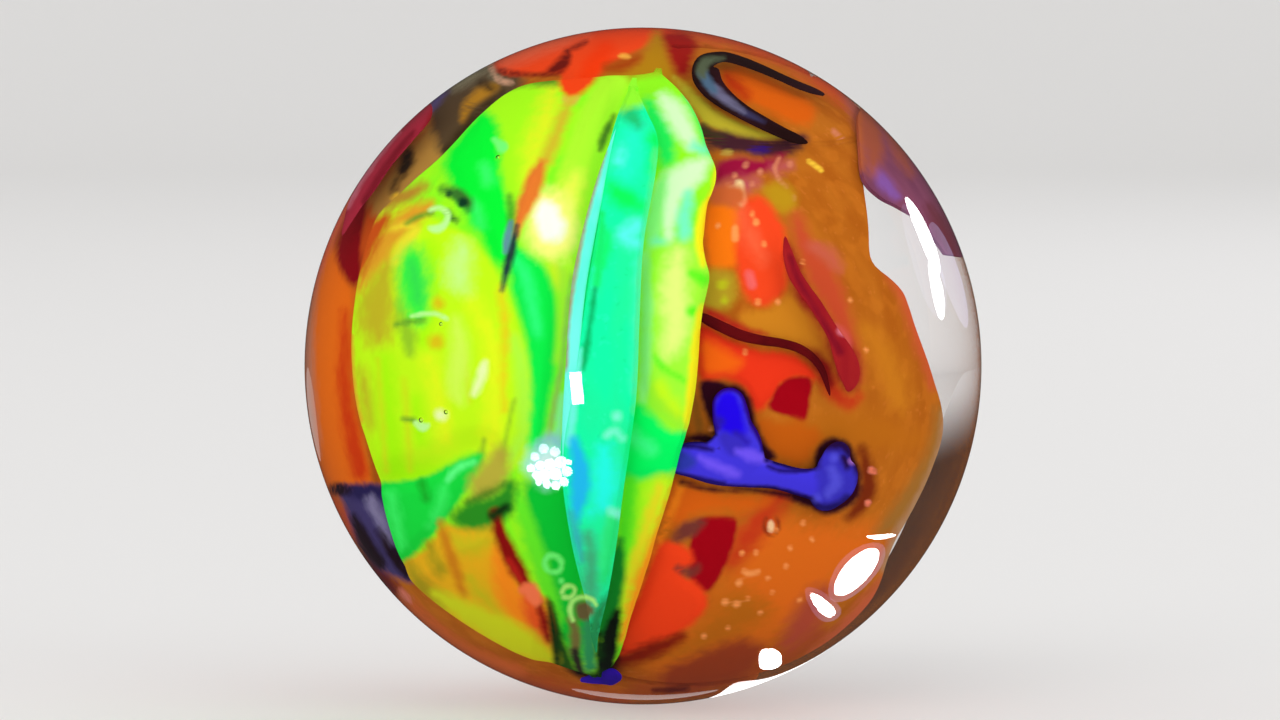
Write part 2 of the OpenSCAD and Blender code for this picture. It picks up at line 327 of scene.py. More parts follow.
class Finish:
    """The node tree of a material, or of the air round the ball."""

    def __init__(self, owner):
        self.owner = owner
        owner.use_nodes = True
        self.tree = owner.node_tree
        self.tree.nodes.clear()

    def add(self, kind, settings=None, sockets=None, output=0):
        """Adds a node, sets it, fills or links its sockets, and returns one output."""
        node = self.tree.nodes.new("ShaderNode" + kind)
        for key, value in (settings or {}).items():
            setattr(node, key, value)
        for key, value in (sockets or {}).items():
            if isinstance(value, Wire):
                self.tree.links.new(value.socket, node.inputs[key])
            else:
                node.inputs[key].default_value = value
        return Wire(self, node.outputs[output]) if node.outputs else None

    def blend(self, factor, first, second):
        """A mix of two colours."""
        sockets = {MIX_FACTOR: factor, MIX_FIRST: first, MIX_SECOND: second}
        return self.add("Mix", {"data_type": "RGBA"}, sockets, MIX_RESULT)

    def step(self, value, low, high, before=0.0, after=1.0):
        """One number below low, another above high, and smooth between."""
        return self.add("MapRange", {"interpolation_type": "SMOOTHSTEP"}, {
            "Value": value, "From Min": low, "From Max": high, "To Min": before, "To Max": after})

    def choose(self, share, first, second):
        """The first number where share is 0, and the second where it is 1."""
        return self.add("MapRange", sockets={"Value": share, "To Min": first, "To Max": second})

    def ray(self, kind):
        """1 for light paths of a kind, and 0 for others."""
        return self.add("LightPath", output="Is %s Ray" % kind)

    def field(self, name):
        """A depth that is stored on the mesh."""
        return self.add("Attribute", {"attribute_name": name}, output="Fac")

    def noise(self, size, detail=2.0, stretch=(1, 1, 1), offset=0.0):
        """Noise from 0 to 1, with features of a size in metres, in the object's own space."""
        place = self.add("Mapping", sockets={
            "Vector": self.add("TexCoord", output="Object"),
            "Scale": tuple(s / size for s in stretch), "Location": (offset, offset, offset)})
        return self.add("TexNoise", sockets={"Vector": place, "Scale": 1.0, "Detail": detail})

    def end(self, surface, kind="Material"):
        """Links the surface to the tree's output, and returns the tree's owner."""
        self.add("Output" + kind, sockets={"Surface": surface})
        return self.owner


def new_finish(name):
    """The empty node tree of a new material."""
    return Finish(bpy.data.materials.new(name))


def colour(red, green, blue):
    """A colour as a screen shows it, from 0 to 255, as Blender's linear values."""
    values = [v / 255 for v in (red, green, blue)]
    linear = [v / 12.92 if v < 0.04045 else ((v + 0.055) / 1.055) ** 2.4 for v in values]
    return (*linear, 1)


def dress(piece, material, slot, *nodes):
    """Gives a piece its finish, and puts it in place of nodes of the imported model."""
    piece.data.materials.clear()
    piece.data.materials.append(material)
    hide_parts(*nodes)
    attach(piece, "root")


print("half grey on screen, as a linear value:", round(colour(128, 128, 128)[0], 3))

# %% [markdown]
# ## The clear casing
#
# The casing is a true sphere with a polish that mirrors the lamps. A few bubbles are
# trapped in it: small hollow spheres whose faces point into the air inside them. The
# lamps have to reach the colours through the glass, so rays that only carry light pass
# straight through it, and rays from the camera bend.

# %% Clear glass
CASING_DIVISIONS = 7
BUBBLES = [(498, 157, 4), (446, 412, 4), (421, 420, 4), (441, 324, 3.5)]  # x, y and width
BUBBLE_DIVISIONS = 3
BUBBLE_LAYER = outer_radius("turquoise_petal")
BUBBLE_GAP = 0.1 * MM
RIPPLE_SIZE = 6 * MM
RIPPLE_STRENGTH = 0.02


def casing_finish():
    finish = new_finish("clear_glass")
    bump = finish.add("Bump", sockets={
        "Strength": RIPPLE_STRENGTH, "Distance": MM,
        "Height": finish.noise(RIPPLE_SIZE, detail=1.0)})
    glass = finish.add("BsdfPrincipled", sockets={
        "Base Color": (1, 1, 1, 1), "Roughness": 0.0, "IOR": GLASS_IOR,
        "Transmission Weight": 1.0, "Normal": bump})
    lighting = finish.ray("Shadow") + finish.ray("Diffuse")
    clear = finish.add("BsdfTransparent")
    return finish.end(finish.add("MixShader", sockets={0: lighting, 1: glass, 2: clear}))


def add_bubble(x, y, width):
    """A hollow that rests just over the outermost colour."""
    sides = through([(x - width / 2, y), (x + width / 2, y)], BUBBLE_LAYER)
    radius = np.linalg.norm(sides[1] - sides[0]) / 2
    place = through([(x, y)], BUBBLE_LAYER + radius + BUBBLE_GAP)[0]
    bpy.ops.mesh.primitive_ico_sphere_add(
        subdivisions=BUBBLE_DIVISIONS, radius=radius, location=place)
    bpy.ops.object.mode_set(mode="EDIT")
    bpy.ops.mesh.flip_normals()
    bpy.ops.object.mode_set(mode="OBJECT")
    return bpy.context.object


def join(pieces, name):
    """Makes one piece of several, where the first one lies."""
    for piece in pieces:
        piece.select_set(True)
    bpy.context.view_layer.objects.active = pieces[0]
    if len(pieces) > 1:
        bpy.ops.object.join()
    pieces[0].name = name
    return pieces[0]


def make_casing():
    bpy.ops.mesh.primitive_ico_sphere_add(subdivisions=CASING_DIVISIONS, radius=BALL_R)
    ball = bpy.context.object
    casing = join([ball] + [add_bubble(*bubble) for bubble in BUBBLES], "casing")
    bpy.ops.object.shade_smooth()
    bpy.ops.object.select_all(action="DESELECT")
    dress(casing, casing_finish(), "clear_glass", "clear_glass")
    print("casing triangles:", len(casing.data.polygons), "bubbles:", len(BUBBLES))


make_casing()

# %% [markdown]
# ## Sheets on the globe
#
# The sheets run from pole to pole, so their places are given as on a globe, whose axis
# leans a little inside the ball. A sheet could be cut from a sphere with a Boolean, but
# that leaves ragged faces at its edges, and colours that are stored on points need many
# even ones. So a sheet starts as a flat grid. Its rows become lines of latitude, and each
# row is stretched between the sheet's left and right edge. The colours' depths are stored
# on its points, some of them raise the sheet in low relief, and Solidify gives it its
# thickness.

# %% From a flat grid to a sheet of glass
LEAN_BACK = math.radians(6)
LEAN_RIGHT = math.radians(5)
EDGE_ROUNDING = 0.3 * MM  # how far in from its border a sheet reaches its full height
NARROWEST = 0.5 * MM  # rows that are narrower, as at a pole, aren't rounded
SEAM_GAP = 0.002 * MM
CREASE = math.radians(50)


def lean_matrix():
    """The globe's turn inside the ball: first back, then to the right."""
    cb, sb = math.cos(LEAN_BACK), math.sin(LEAN_BACK)
    cr, sr = math.cos(LEAN_RIGHT), math.sin(LEAN_RIGHT)
    back = np.array([[1, 0, 0], [0, cb, sb], [0, -sb, cb]])
    right = np.array([[cr, 0, sr], [0, 1, 0], [-sr, 0, cr]])
    return right @ back


LEAN = lean_matrix()
print("the globe leans, degrees:", round(math.degrees(math.acos(LEAN[2, 2])), 1))


def globe_ways(lon, lat):
    """Directions at longitudes and latitudes in degrees."""
    lon, lat = np.radians(lon), np.radians(lat)
    ways = np.column_stack([np.cos(lat) * np.sin(lon), -np.cos(lat) * np.cos(lon), np.sin(lat)])
    return ways @ LEAN.T


def smoothstep(values, high):
    """0 below 0, 1 above high, and smooth between."""
    u = np.clip(values / high, 0, 1)
    return u * u * (3 - 2 * u)


def flat_grid(name, columns, lines):
    """A flat grid, and how far across and down its points lie, from 0 to 1."""
    bpy.ops.mesh.primitive_grid_add(x_subdivisions=columns, y_subdivisions=lines, size=1)
    grid = bpy.context.object
    grid.name = name
    places = points_of(grid)
    return grid, places[:, 0] + 0.5, 0.5 - places[:, 1]


def make_sheet(name, rows, radius, thickness, columns, lines, paints, relief=()):
    """A sheet between rows of (latitude, left, right), painted and raised by paints.

    columns lists (count, share): how many columns each next share of the width gets.
    """
    counts, shares = zip(*columns)
    sheet, across, down = flat_grid(name, sum(counts), lines)
    bends = [np.cumsum([0, *parts]) / sum(parts) for parts in (counts, shares)]
    across = np.interp(across, *bends)
    edges = curve(rows)
    lat = edges[0, 0] + (edges[-1, 0] - edges[0, 0]) * down
    left = np.interp(-lat, -edges[:, 0], edges[:, 1])
    right = np.interp(-lat, -edges[:, 0], edges[:, 2])
    ways = globe_ways(left + (right - left) * across, lat)
    reach = np.radians(right - left) * np.cos(np.radians(lat)) * radius
    border = np.minimum(across, 1 - across) * reach
    sink = thickness * (1 - smoothstep(border, EDGE_ROUNDING)) * (reach > NARROWEST)
    paint_sheet(sheet, ways, radius - sink, paints, relief)
    wall_sheet(sheet, thickness)
    print(name, "faces:", len(sheet.data.polygons), "colours:", len(paints))
    return sheet


def paint_sheet(sheet, ways, height, paints, relief=()):
    """Puts a sheet's points at their height in the ball, raised by the relief, and paints it."""
    spots = on_paper(ways, np.max(height))
    shapes = {paint[0]: paint[3] for paint in paints}
    for field, rise, slope in relief:
        height = height + rise * MM * smoothstep(deepest(shapes[field], spots), slope)
    put_points(sheet, ways * np.reshape(height, (-1, 1)))
    store_depths(sheet, paints, ways, height)


def paint_piece(piece, paints):
    """Paints a piece that is in its place already."""
    places = points_of(piece)
    store_depths(piece, paints, unit(places), np.linalg.norm(places, axis=1))


def store_depths(piece, paints, ways, radius):
    """Stores how deep a piece's points lie inside each paint's shapes."""
    spots = on_paper(ways, radius)
    for field, _, _, shapes in paints:
        layer = piece.data.attributes.new(field, "FLOAT", "POINT")
        layer.data.foreach_set("value", deepest(shapes, spots))


def wall_sheet(sheet, thickness):
    """Closes a sheet's seams and gives it its thickness, inwards."""
    bpy.ops.object.mode_set(mode="EDIT")
    bpy.ops.mesh.select_all(action="SELECT")
    bpy.ops.mesh.remove_doubles(threshold=SEAM_GAP)
    bpy.ops.object.mode_set(mode="OBJECT")
    wall = sheet.modifiers.new("wall", "SOLIDIFY")
    wall.thickness = thickness
    wall.offset = -1
    bpy.ops.object.modifier_apply(modifier=wall.name)
    bpy.ops.object.shade_smooth_by_angle(angle=CREASE)
    bpy.ops.object.select_all(action="DESELECT")


# %% [markdown]
# ## Coloured glass
#
# The colours are glass as well, but so dense that hardly any light gets through. They
# could be filled with coloured smoke, which is slow and is lost when the ball is used
# elsewhere. An opaque, matt skin does the same job, because the polish is the casing's.
# Its base is noise that is drawn out from pole to pole. Each paint then covers what came
# before it, with a soft edge that finer noise makes ragged.

# %% Coloured glass
FLOW_SIZE = 2.2 * MM
FLOW_BAND = (0.35, 0.65)  # the noise between which the ground turns into its veins
FLOW_STRETCH = (1, 1, 0.25)  # drawn out towards the poles
WISP_SIZE = 0.6 * MM
WISP_SHIFT = 7.0
RAGGED_BY_WISPS = 1.2
RAGGED_BY_FLOW = 0.5
GRAIN_EDGE = 0.12
GRAIN_SHIFT = 30  # starts each kind of grain at another place in the noise
GLASS_ROUGHNESS = 0.6


def streaky_finish(name, ground, veins, paints, grains=()):
    """Opaque coloured glass: a streaky ground, with each paint laid over it in turn.

    grains lists (size in metres, noise above which a grain shows, strength, colour).
    """
    finish = new_finish(name)
    flow = finish.noise(FLOW_SIZE, detail=3.0, stretch=FLOW_STRETCH)
    wisp = finish.noise(WISP_SIZE, detail=3.0, offset=WISP_SHIFT)
    ragged = (wisp - 0.5) * RAGGED_BY_WISPS + (flow - 0.5) * RAGGED_BY_FLOW
    base = finish.blend(finish.step(flow, *FLOW_BAND), colour(*ground), colour(*veins))
    for size, level, strength, hue in grains:
        grain = finish.noise(size, offset=level * GRAIN_SHIFT)
        shown = finish.step(grain, level, level + GRAIN_EDGE) * strength
        base = finish.blend(shown, base, colour(*hue))
    for field, hue, edge, _ in paints:
        depth = finish.field(field) + ragged * edge
        base = finish.blend(finish.step(depth, -edge, edge), base, colour(*hue))
    return finish.end(finish.add("BsdfPrincipled", sockets={
        "Base Color": base, "Roughness": GLASS_ROUGHNESS, "Specular IOR Level": 0.0}))


print("sizes of the flow and the wisps, mm:", FLOW_SIZE / MM, WISP_SIZE / MM)

# %% [markdown]
# ## The amber ground
#
# The ground is the innermost sheet: a shell of streaky amber glass that runs all round
# the core, but for one long gap at the right and the back, through which the ball is
# clear. Most of the warm colours are frit and streaks picked up on this shell. Modelled
# one by one they would be hundreds of slivers, so they are paints on one sheet, and only
# those that stand out of it are raised.
# A few paints on the ground are light and shade, not glass: a painted reflection along the left
# rim, a painted shadow round the scroll, and the glints of the seed bubbles.

# %% Amber ground
TOP_SEAM = 122
FOOT_SEAM = 118
GROUND_ROWS = [  # latitude, left and right edge in degrees
    (90, TOP_SEAM - 360, TOP_SEAM), (64, TOP_SEAM - 360, TOP_SEAM), (60, -232, 128),
    (57, -225, 132), (54.5, -215, 131), (52.4, -208, 123), (50.6, -204, 97), (49, -200, 80),
    (46, -194, 72.5), (42, -188, 67.5), (37.5, -184, 63.5), (30.5, -178, 59.4),
    (25.5, -175, 57.2), (22.8, -174, 58.2), (20.4, -173, 62.8), (18, -172.5, 66.3),
    (15, -172, 67.8), (11.5, -172, 69.3), (8, -171, 71.6), (4.2, -171, 74.8), (0.7, -171, 78),
    (-3, -171, 82.2), (-6.5, -172, 85.2), (-10, -172, 86.2), (-14, -173, 85.9),
    (-18, -174, 85.7), (-22, -176, 85.4), (-26, -178, 85.5), (-30.2, -180, 86.3),
    (-34, -184, 90.6), (-37.2, -187, 98), (-40, -190, 104.5), (-43.6, -194, 109.2),
    (-47.4, -201, 113.6), (-51, -209, 116), (-55, -221, 117.4), (-59, -232, 118),
    (-63, FOOT_SEAM - 360, FOOT_SEAM), (-90, FOOT_SEAM - 360, FOOT_SEAM),
]
GROUND_COLUMNS = [(32, 150), (34, 30), (26, 73), (150, 107)]  # few behind and under the lime
GROUND_LINES = 185
GROUND_WALL = 0.6 * MM
GROUND_PAINTS = [  # field, colour, soft edge in points of the paper, shapes
    ("speckled", (234, 112, 28), 20, [Patch(
        (640, 655), (700, 612), (732, 566), (746, 532), (770, 512), (800, 520), (850, 525),
        (880, 526), (872, 560), (820, 600), (790, 625), (745, 655), (690, 680))]),
    ("honey", (194, 108, 22), 18, [
        Patch((640, 662), (690, 632), (735, 590), (770, 610), (740, 640), (690, 660)),
        Streak((800, 440, 40), (860, 430, 40), (915, 440, 20))]),
    ("rust_slope", (208, 62, 26), 12, [
        Streak((796, 482, 12), (778, 500, 20), (760, 520, 26), (744, 544, 22), (732, 562, 12))]),
    ("low_brown", (178, 82, 32), 14, [
        Streak((640, 690, 18), (700, 682, 26), (770, 666, 26), (815, 636, 18))]),
    ("brick", (184, 78, 54), 12, [
        Streak((788, 644, 12), (802, 626, 26), (814, 606, 24), (822, 592, 12))]),
    ("rim_coral", (216, 104, 66), 7, [
        Streak((812, 656, 8), (834, 638, 12), (854, 620, 16), (872, 600, 16), (884, 580, 10))]),
    ("olive_edge", (166, 112, 46), 9, [
        Streak((940, 410, 8), (936, 446, 14), (924, 478, 20), (908, 503, 22), (892, 522, 18),
               (878, 532, 8))]),
    ("edge_tan", (182, 140, 104), 6, [
        Streak((946, 414, 6), (943, 446, 9), (932, 478, 11), (920, 502, 12), (905, 526, 12),
               (893, 548, 12), (885, 568, 10))]),
    ("rust_rim", (220, 84, 42), 9, [
        Streak((646, 22, 14), (700, 32, 20), (740, 42, 18), (790, 60, 18), (838, 92, 16),
               (862, 114, 8))]),
    ("rust_mauve", (184, 98, 80), 7, [
        Streak((846, 92, 10), (858, 112, 16), (866, 134, 13), (866, 156, 6))]),
    ("right_fringe", (206, 88, 50), 8, [
        Streak((884, 264, 8), (897, 280, 12), (905, 296, 12), (912, 318, 12), (920, 342, 12),
               (928, 366, 9), (933, 386, 5))]),
    ("limb_haze", (196, 92, 34), 26, [
        Streak((446, 74, 6), (404, 96, 22), (362, 132, 34), (324, 182, 40), (292, 240, 50),
               (262, 306, 70), (250, 370, 90), (264, 430, 60), (296, 490, 20))]),
    ("limb_orange", (240, 112, 22), 12, [Patch(
        (266, 430), (250, 368), (260, 306), (288, 264), (318, 250), (345, 250), (356, 300),
        (354, 340), (356, 400), (374, 482), (340, 490), (310, 484), (284, 464))]),
    ("limb_red", (214, 60, 14), 7, [
        Streak((344, 312, 5), (344, 346, 10), (344, 380, 13), (347, 410, 14), (353, 440, 17),
               (360, 472, 16))]),
    ("limb_brown", (166, 82, 18), 5, [
        Streak((357, 396, 3), (363, 418, 5), (369, 440, 6), (374, 462, 8), (378, 482, 8))]),
    # Painted reflection: a pale salmon streak along the left rim.
    ("rim_painted_reflection", (210, 136, 104), 6, [
        Streak((322, 256, 2), (313, 292, 8), (308, 330, 11), (308, 370, 12), (311, 410, 11),
               (319, 456, 2))]),
    ("coral", (255, 108, 82), 7, [
        Streak((306, 306, 2), (316, 262, 14), (326, 236, 19), (338, 212, 20), (350, 194, 14))]),
    ("wine", (140, 8, 20), 5, [Patch(
        (368, 182), (378, 188), (371, 204), (366, 222), (364, 242), (363, 262), (359, 286),
        (350, 284), (343, 274), (337, 262), (336, 244), (342, 226), (350, 208), (358, 194))]),
    ("edge_rust", (206, 82, 24), 4, [Patch(
        (370, 196), (384, 200), (378, 224), (370, 248), (362, 268), (361, 246), (365, 222))]),
    ("khaki", (190, 140, 64), 8, [Patch(
        (430, 122), (444, 134), (456, 152), (442, 178), (420, 198), (392, 214), (374, 214),
        (370, 196), (382, 180), (398, 160), (414, 142))]),
    ("khaki_moss", (118, 106, 34), 5, [
        Streak((456, 150, 7), (440, 168, 10), (422, 188, 10), (406, 202, 8))]),
    ("khaki_dark", (50, 36, 22), 5, [
        Streak((409, 151, 9), (407, 161, 15), (402, 173, 10)),
        Streak((398, 180, 6), (393, 192, 6))]),
    ("khaki_gold", (240, 190, 56), 2.5, [Streak((392, 198, 4), (397, 195, 5))]),
    ("smoke", (92, 72, 48), 8, [Patch(
        (428, 112), (432, 90), (452, 66), (480, 50), (500, 44), (522, 66), (520, 90),
        (500, 112), (480, 134), (460, 154), (444, 160), (434, 136))]),
    ("smoke_grey", (150, 140, 110), 7, [
        Streak((452, 86, 10), (468, 76, 15), (486, 66, 10)), Streak((486, 62, 7), (496, 78, 6))]),
    ("smoke_gold", (190, 132, 34), 5, [
        Streak((463, 120, 6), (468, 106, 10), (480, 95, 13), (494, 88, 10))]),
    ("smoke_dark", (62, 44, 24), 6, [
        Streak((448, 150, 8), (466, 129, 10), (484, 108, 9), (502, 94, 6)),
        Streak((480, 82, 5), (494, 90, 6))]),
    ("smoke_cream", (212, 160, 128), 3, [
        Streak((489, 62, 6), (493, 69, 8)), Streak((494, 75, 4), (501, 81, 6), (512, 83, 4))]),
    ("smoke_violet", (100, 84, 140), 5, [Streak((430, 112, 5), (437, 100, 9), (446, 90, 7))]),
    ("cap", (252, 74, 26), 4, [Patch(
        (496, 64), (505, 40), (540, 22), (600, 10), (655, 8), (684, 12), (700, 22), (680, 34),
        (656, 38), (640, 50), (622, 58), (604, 68), (596, 80), (586, 92), (574, 100),
        (566, 96), (561, 86), (560, 75), (540, 75), (520, 76), (503, 74))]),
    ("cap_coral", (250, 102, 64), 8, [
        Streak((503, 62, 14), (524, 50, 22), (552, 40, 20), (586, 32, 8))]),
    ("cap_glow", (255, 62, 10), 8, [Streak((606, 48, 16), (594, 66, 20), (582, 86, 14))]),
    ("cap_shade", (116, 24, 14), 4, [
        Streak((549, 72, 6), (560, 66, 12), (566, 58, 10), (567, 51, 5)),
        Streak((573, 48, 3), (580, 45, 4), (586, 42, 3)),
        Streak((500, 71, 6), (516, 74, 4), (540, 75, 4), (558, 74, 5))]),
    ("gold", (190, 134, 18), 8, [Patch(
        (656, 30), (664, 40), (668, 56), (676, 72), (692, 92), (640, 98), (596, 88),
        (612, 74), (636, 62), (648, 46))]),
    ("gold_shade", (176, 70, 12), 6, [Streak((606, 68, 6), (622, 66, 11), (638, 58, 9))]),
    ("gold_bead", (255, 176, 66), 2, [Streak((620, 56, 4), (625, 56, 6), (630, 57, 3))]),
    ("oxblood", (166, 26, 20), 7, [Patch(
        (664, 34), (684, 32), (696, 44), (692, 60), (689, 76), (678, 76), (672, 64),
        (667, 50))]),
    ("curl_heart", (226, 98, 14), 7, [Patch(
        (722, 74), (736, 68), (752, 72), (770, 80), (792, 91), (814, 106), (810, 124),
        (794, 124), (774, 114), (752, 104), (736, 94), (726, 86))]),
    ("heart_red", (196, 58, 12), 8, [Streak((726, 74, 8), (734, 84, 14), (746, 95, 10))]),
    ("straw", (202, 182, 48), 4, [Patch(
        (672, 76), (690, 88), (704, 100), (718, 112), (740, 122), (764, 132), (784, 138),
        (764, 141), (738, 138), (720, 132), (704, 125), (696, 112), (686, 98))]),
    ("tail", (72, 34, 44), 6, [
        Streak((698, 132, 14), (708, 137, 20), (722, 141, 21), (744, 145, 18), (768, 149, 17),
               (788, 147, 19), (802, 140, 12))]),
    ("tail_olive", (70, 60, 34), 5, [Streak((702, 128, 10), (710, 136, 13), (722, 140, 9))]),
    ("tail_blue", (52, 22, 124), 4, [Streak((750, 149, 5), (760, 149, 9), (769, 148, 5))]),
    ("tail_spot", (196, 166, 70), 3, [Streak((722, 153, 4), (730, 153, 6))]),
    ("berry", (160, 18, 60), 6, [Patch(
        (714, 172), (722, 162), (738, 156), (754, 160), (770, 158), (788, 150), (778, 166),
        (758, 174), (744, 180), (728, 178), (716, 186))]),
    ("berry_haze", (192, 84, 90), 9, [
        Streak((722, 192, 16), (736, 188, 20), (754, 182, 12)),
        Streak((776, 170, 10), (790, 164, 6))]),
    ("berry_pearls", (220, 132, 96), 2.5, [
        *dabs(6, (735, 176), (746, 165), (752, 184), (728, 186), (760, 172)),
        Streak((779, 158, 4), (775, 168, 4), (779, 180, 4), (786, 187, 4)),
        *dabs(6, (790, 164), (793, 198)), Streak((833, 131, 5), (842, 140, 5))]),
    ("cream", (255, 226, 160), 3, [
        Streak((739, 184, 9), (739, 194, 11), (743, 203, 9)), *dabs(7, (731, 190))]),
    ("sun_fleck", (255, 204, 60), 2, [Streak((809, 161, 5), (821, 170, 5))]),
    ("olive_top", (194, 148, 24), 8, [
        Patch((764, 190), (780, 182), (796, 196), (790, 212), (774, 208))]),
    ("flame_orange", (255, 124, 16), 6, [Patch(
        (708, 206), (724, 202), (738, 210), (743, 228), (741, 250), (735, 266), (712, 268),
        (706, 250), (704, 226))]),
    ("peach_top", (214, 104, 52), 6, [Patch(
        (714, 188), (734, 184), (746, 192), (742, 206), (722, 206), (712, 202))]),
    ("blaze", (252, 74, 32), 6, [Patch(
        (742, 206), (752, 196), (766, 200), (776, 214), (784, 230), (788, 256), (787, 280),
        (779, 300), (766, 308), (753, 304), (744, 290), (738, 270), (736, 250), (740, 228))]),
    ("blaze_light", (255, 100, 60), 10, [Streak((742, 212, 12), (750, 236, 16), (762, 258, 10))]),
    ("blaze_pink", (250, 104, 100), 3.5, [Streak((749, 274, 8), (752, 284, 9))]),
    ("olive", (190, 160, 38), 8, [Patch(
        (704, 274), (720, 270), (732, 276), (734, 292), (730, 306), (716, 310), (702, 306))]),
    ("amber_mid", (216, 136, 32), 8, [Patch(
        (742, 314), (768, 308), (792, 296), (806, 316), (818, 344), (800, 344), (772, 338),
        (746, 330))]),
    ("olive_lit", (200, 208, 28), 4, [*dabs(9, (722, 285)), *dabs(5, (724, 300))]),
    ("ember_line", (200, 44, 30), 5, [
        Streak((702, 309, 6), (716, 316, 9), (732, 324, 8), (748, 331, 6), (766, 335, 4))]),
    ("ember", (244, 56, 26), 6, [Patch(
        (698, 326), (726, 337), (756, 349), (786, 353), (806, 362), (820, 376), (812, 381),
        (798, 378), (784, 384), (776, 396), (768, 405), (756, 412), (750, 400), (742, 386),
        (726, 380), (706, 382), (696, 370))]),
    ("ember_tail", (206, 58, 26), 8, [
        Streak((824, 372, 14), (834, 392, 18), (848, 402, 14), (858, 396, 8))]),
    ("ember_orange", (252, 104, 18), 8, [Patch(
        (702, 340), (722, 348), (742, 362), (730, 372), (704, 372))]),
    ("garnet", (168, 4, 22), 3, [
        Patch((780, 384), (794, 377), (811, 379), (810, 400), (805, 421), (791, 417), (769, 409),
              (773, 396)),
        Patch((698, 520), (716, 516), (736, 519), (733, 545), (722, 572), (708, 591),
              (694, 586), (688, 570), (690, 545))]),
    ("crimson_haze", (206, 78, 44), 9, [
        Streak((796, 218, 10), (806, 246, 20), (820, 272, 28), (832, 296, 26), (843, 322, 20),
               (852, 350, 16), (857, 376, 12))]),
    ("crimson_deep", (156, 26, 28), 6, [
        Streak((788, 246, 6), (791, 260, 13), (797, 280, 14), (804, 296, 15), (818, 314, 12),
               (830, 330, 13), (842, 350, 24), (848, 367, 28), (850, 384, 16))]),
    ("crimson_pink", (224, 92, 84), 4, [Streak((836, 326, 5), (844, 334, 8), (850, 346, 5))]),
    ("rose_haze", (206, 96, 72), 8, [Streak((812, 246, 10), (830, 256, 14), (838, 268, 8))]),
    ("lobe", (204, 96, 16), 8, [Patch(
        (756, 416), (776, 420), (808, 424), (822, 436), (814, 450), (806, 462), (788, 462),
        (766, 448))]),
    ("amber_light", (208, 124, 28), 14, [Streak((866, 330, 10), (884, 356, 22), (900, 400, 20))]),
    ("under_bar", (228, 102, 20), 10, [Patch(
        (672, 484), (720, 492), (772, 500), (744, 512), (706, 512), (670, 524))]),
    ("bright_red", (255, 70, 28), 5, [Patch(
        (654, 546), (668, 541), (688, 548), (694, 560), (684, 574), (698, 584), (707, 600),
        (700, 616), (684, 630), (664, 642), (642, 651), (620, 657), (612, 640), (620, 622),
        (634, 600), (646, 572))]),
    ("grey_frit", (124, 58, 50), 5, [
        Streak((676, 538, 8), (688, 530, 16), (702, 522, 8)),
        Streak((678, 568, 6), (688, 573, 9), (698, 568, 6))]),
    ("fringe", (255, 140, 28), 5, [
        Streak((682, 484, 6), (672, 510, 7), (660, 538, 6), (647, 564, 6), (635, 590, 9),
               (623, 612, 11), (614, 634, 8))]),
    ("low_red", (140, 34, 14), 7, [
        Streak((612, 664, 10), (636, 656, 15), (660, 647, 15), (682, 636, 8))]),
    ("low_maroon", (158, 66, 34), 9, [Patch(
        (664, 672), (694, 656), (738, 640), (764, 648), (746, 674), (704, 690), (668, 690))]),
    ("low_black", (100, 30, 22), 3, [Streak((654, 690, 4), (670, 690, 5), (688, 688, 4))]),
    ("brown_strip", (150, 92, 26), 4, [Streak((694, 396, 5), (697, 414, 8), (699, 430, 6))]),
    ("halo_rust", (126, 44, 14), 7, [
        Streak((862, 450, 8), (867, 468, 14), (869, 486, 17), (862, 504, 15), (848, 517, 8))]),
    # Painted shadow: a dark outline round the scroll's knobs and a dark line along the underside
    # of its bar.
    ("scroll_painted_shadow", (50, 8, 26), 4, [
        Patch((699, 386), (706, 380), (720, 381), (730, 384), (740, 386), (749, 396), (754, 412),
              (758, 426), (766, 444), (776, 458), (744, 470), (716, 446), (712, 426), (705, 412)),
        Streak((682, 441, 5), (700, 438, 10), (714, 442, 12), (720, 448, 8)),
        Patch((812, 470), (814, 456), (820, 444), (832, 437), (845, 440), (853, 449), (857, 462),
              (861, 474), (861, 490), (854, 503), (842, 511), (824, 514), (810, 508), (790, 499),
              (796, 484)),
        Streak((682, 482, 5), (712, 489, 5), (760, 490, 5), (790, 496, 7))]),
    ("hook", (142, 24, 22), 5, [
        Streak((800, 350, 6), (814, 358, 14), (825, 371, 14), (830, 384, 8))]),
    ("bead_ring", (150, 54, 22), 3, [
        Streak((766, 518, 3), (764, 526, 3), (768, 534, 3), (775, 534, 3), (779, 526, 3),
               (776, 518, 3))]),
    # Painted glint: the pale middle of a seed bubble, inside its dark ring.
    ("seed_bubble_glint", (255, 206, 154), 2, [Streak((771, 523, 6), (771, 529, 7))]),
    ("coral_beads", (244, 130, 100), 2, [
        Streak((871, 470, 7), (875, 472, 5)), *dabs(7, (868, 503))]),
    ("limb_low", (200, 86, 34), 11, [
        Streak((388, 592, 18), (426, 636, 26), (486, 672, 28), (540, 692, 28), (620, 706, 22))]),
    ("limb_low_light", (226, 110, 52), 7, [
        Streak((410, 604, 8), (436, 628, 11), (470, 652, 11), (520, 672, 10))]),
    ("limb_low_wine", (112, 28, 28), 7, [Streak((364, 558, 8), (380, 576, 18), (394, 590, 12))]),
    ("limb_low_pink", (230, 130, 110), 3, [Streak((400, 590, 5), (410, 600, 7))]),
    ("left_ember", (216, 88, 36), 6, [Streak((326, 494, 10), (342, 516, 18), (354, 538, 10))]),
    ("violet", (70, 60, 112), 5, [Patch(
        (338, 487), (358, 487), (384, 487), (392, 520), (402, 552), (416, 580), (396, 578),
        (374, 562), (358, 540), (348, 516), (342, 500))]),
    ("violet_navy", (42, 34, 84), 5, [Patch(
        (342, 485), (380, 485), (384, 497), (366, 502), (350, 496))]),
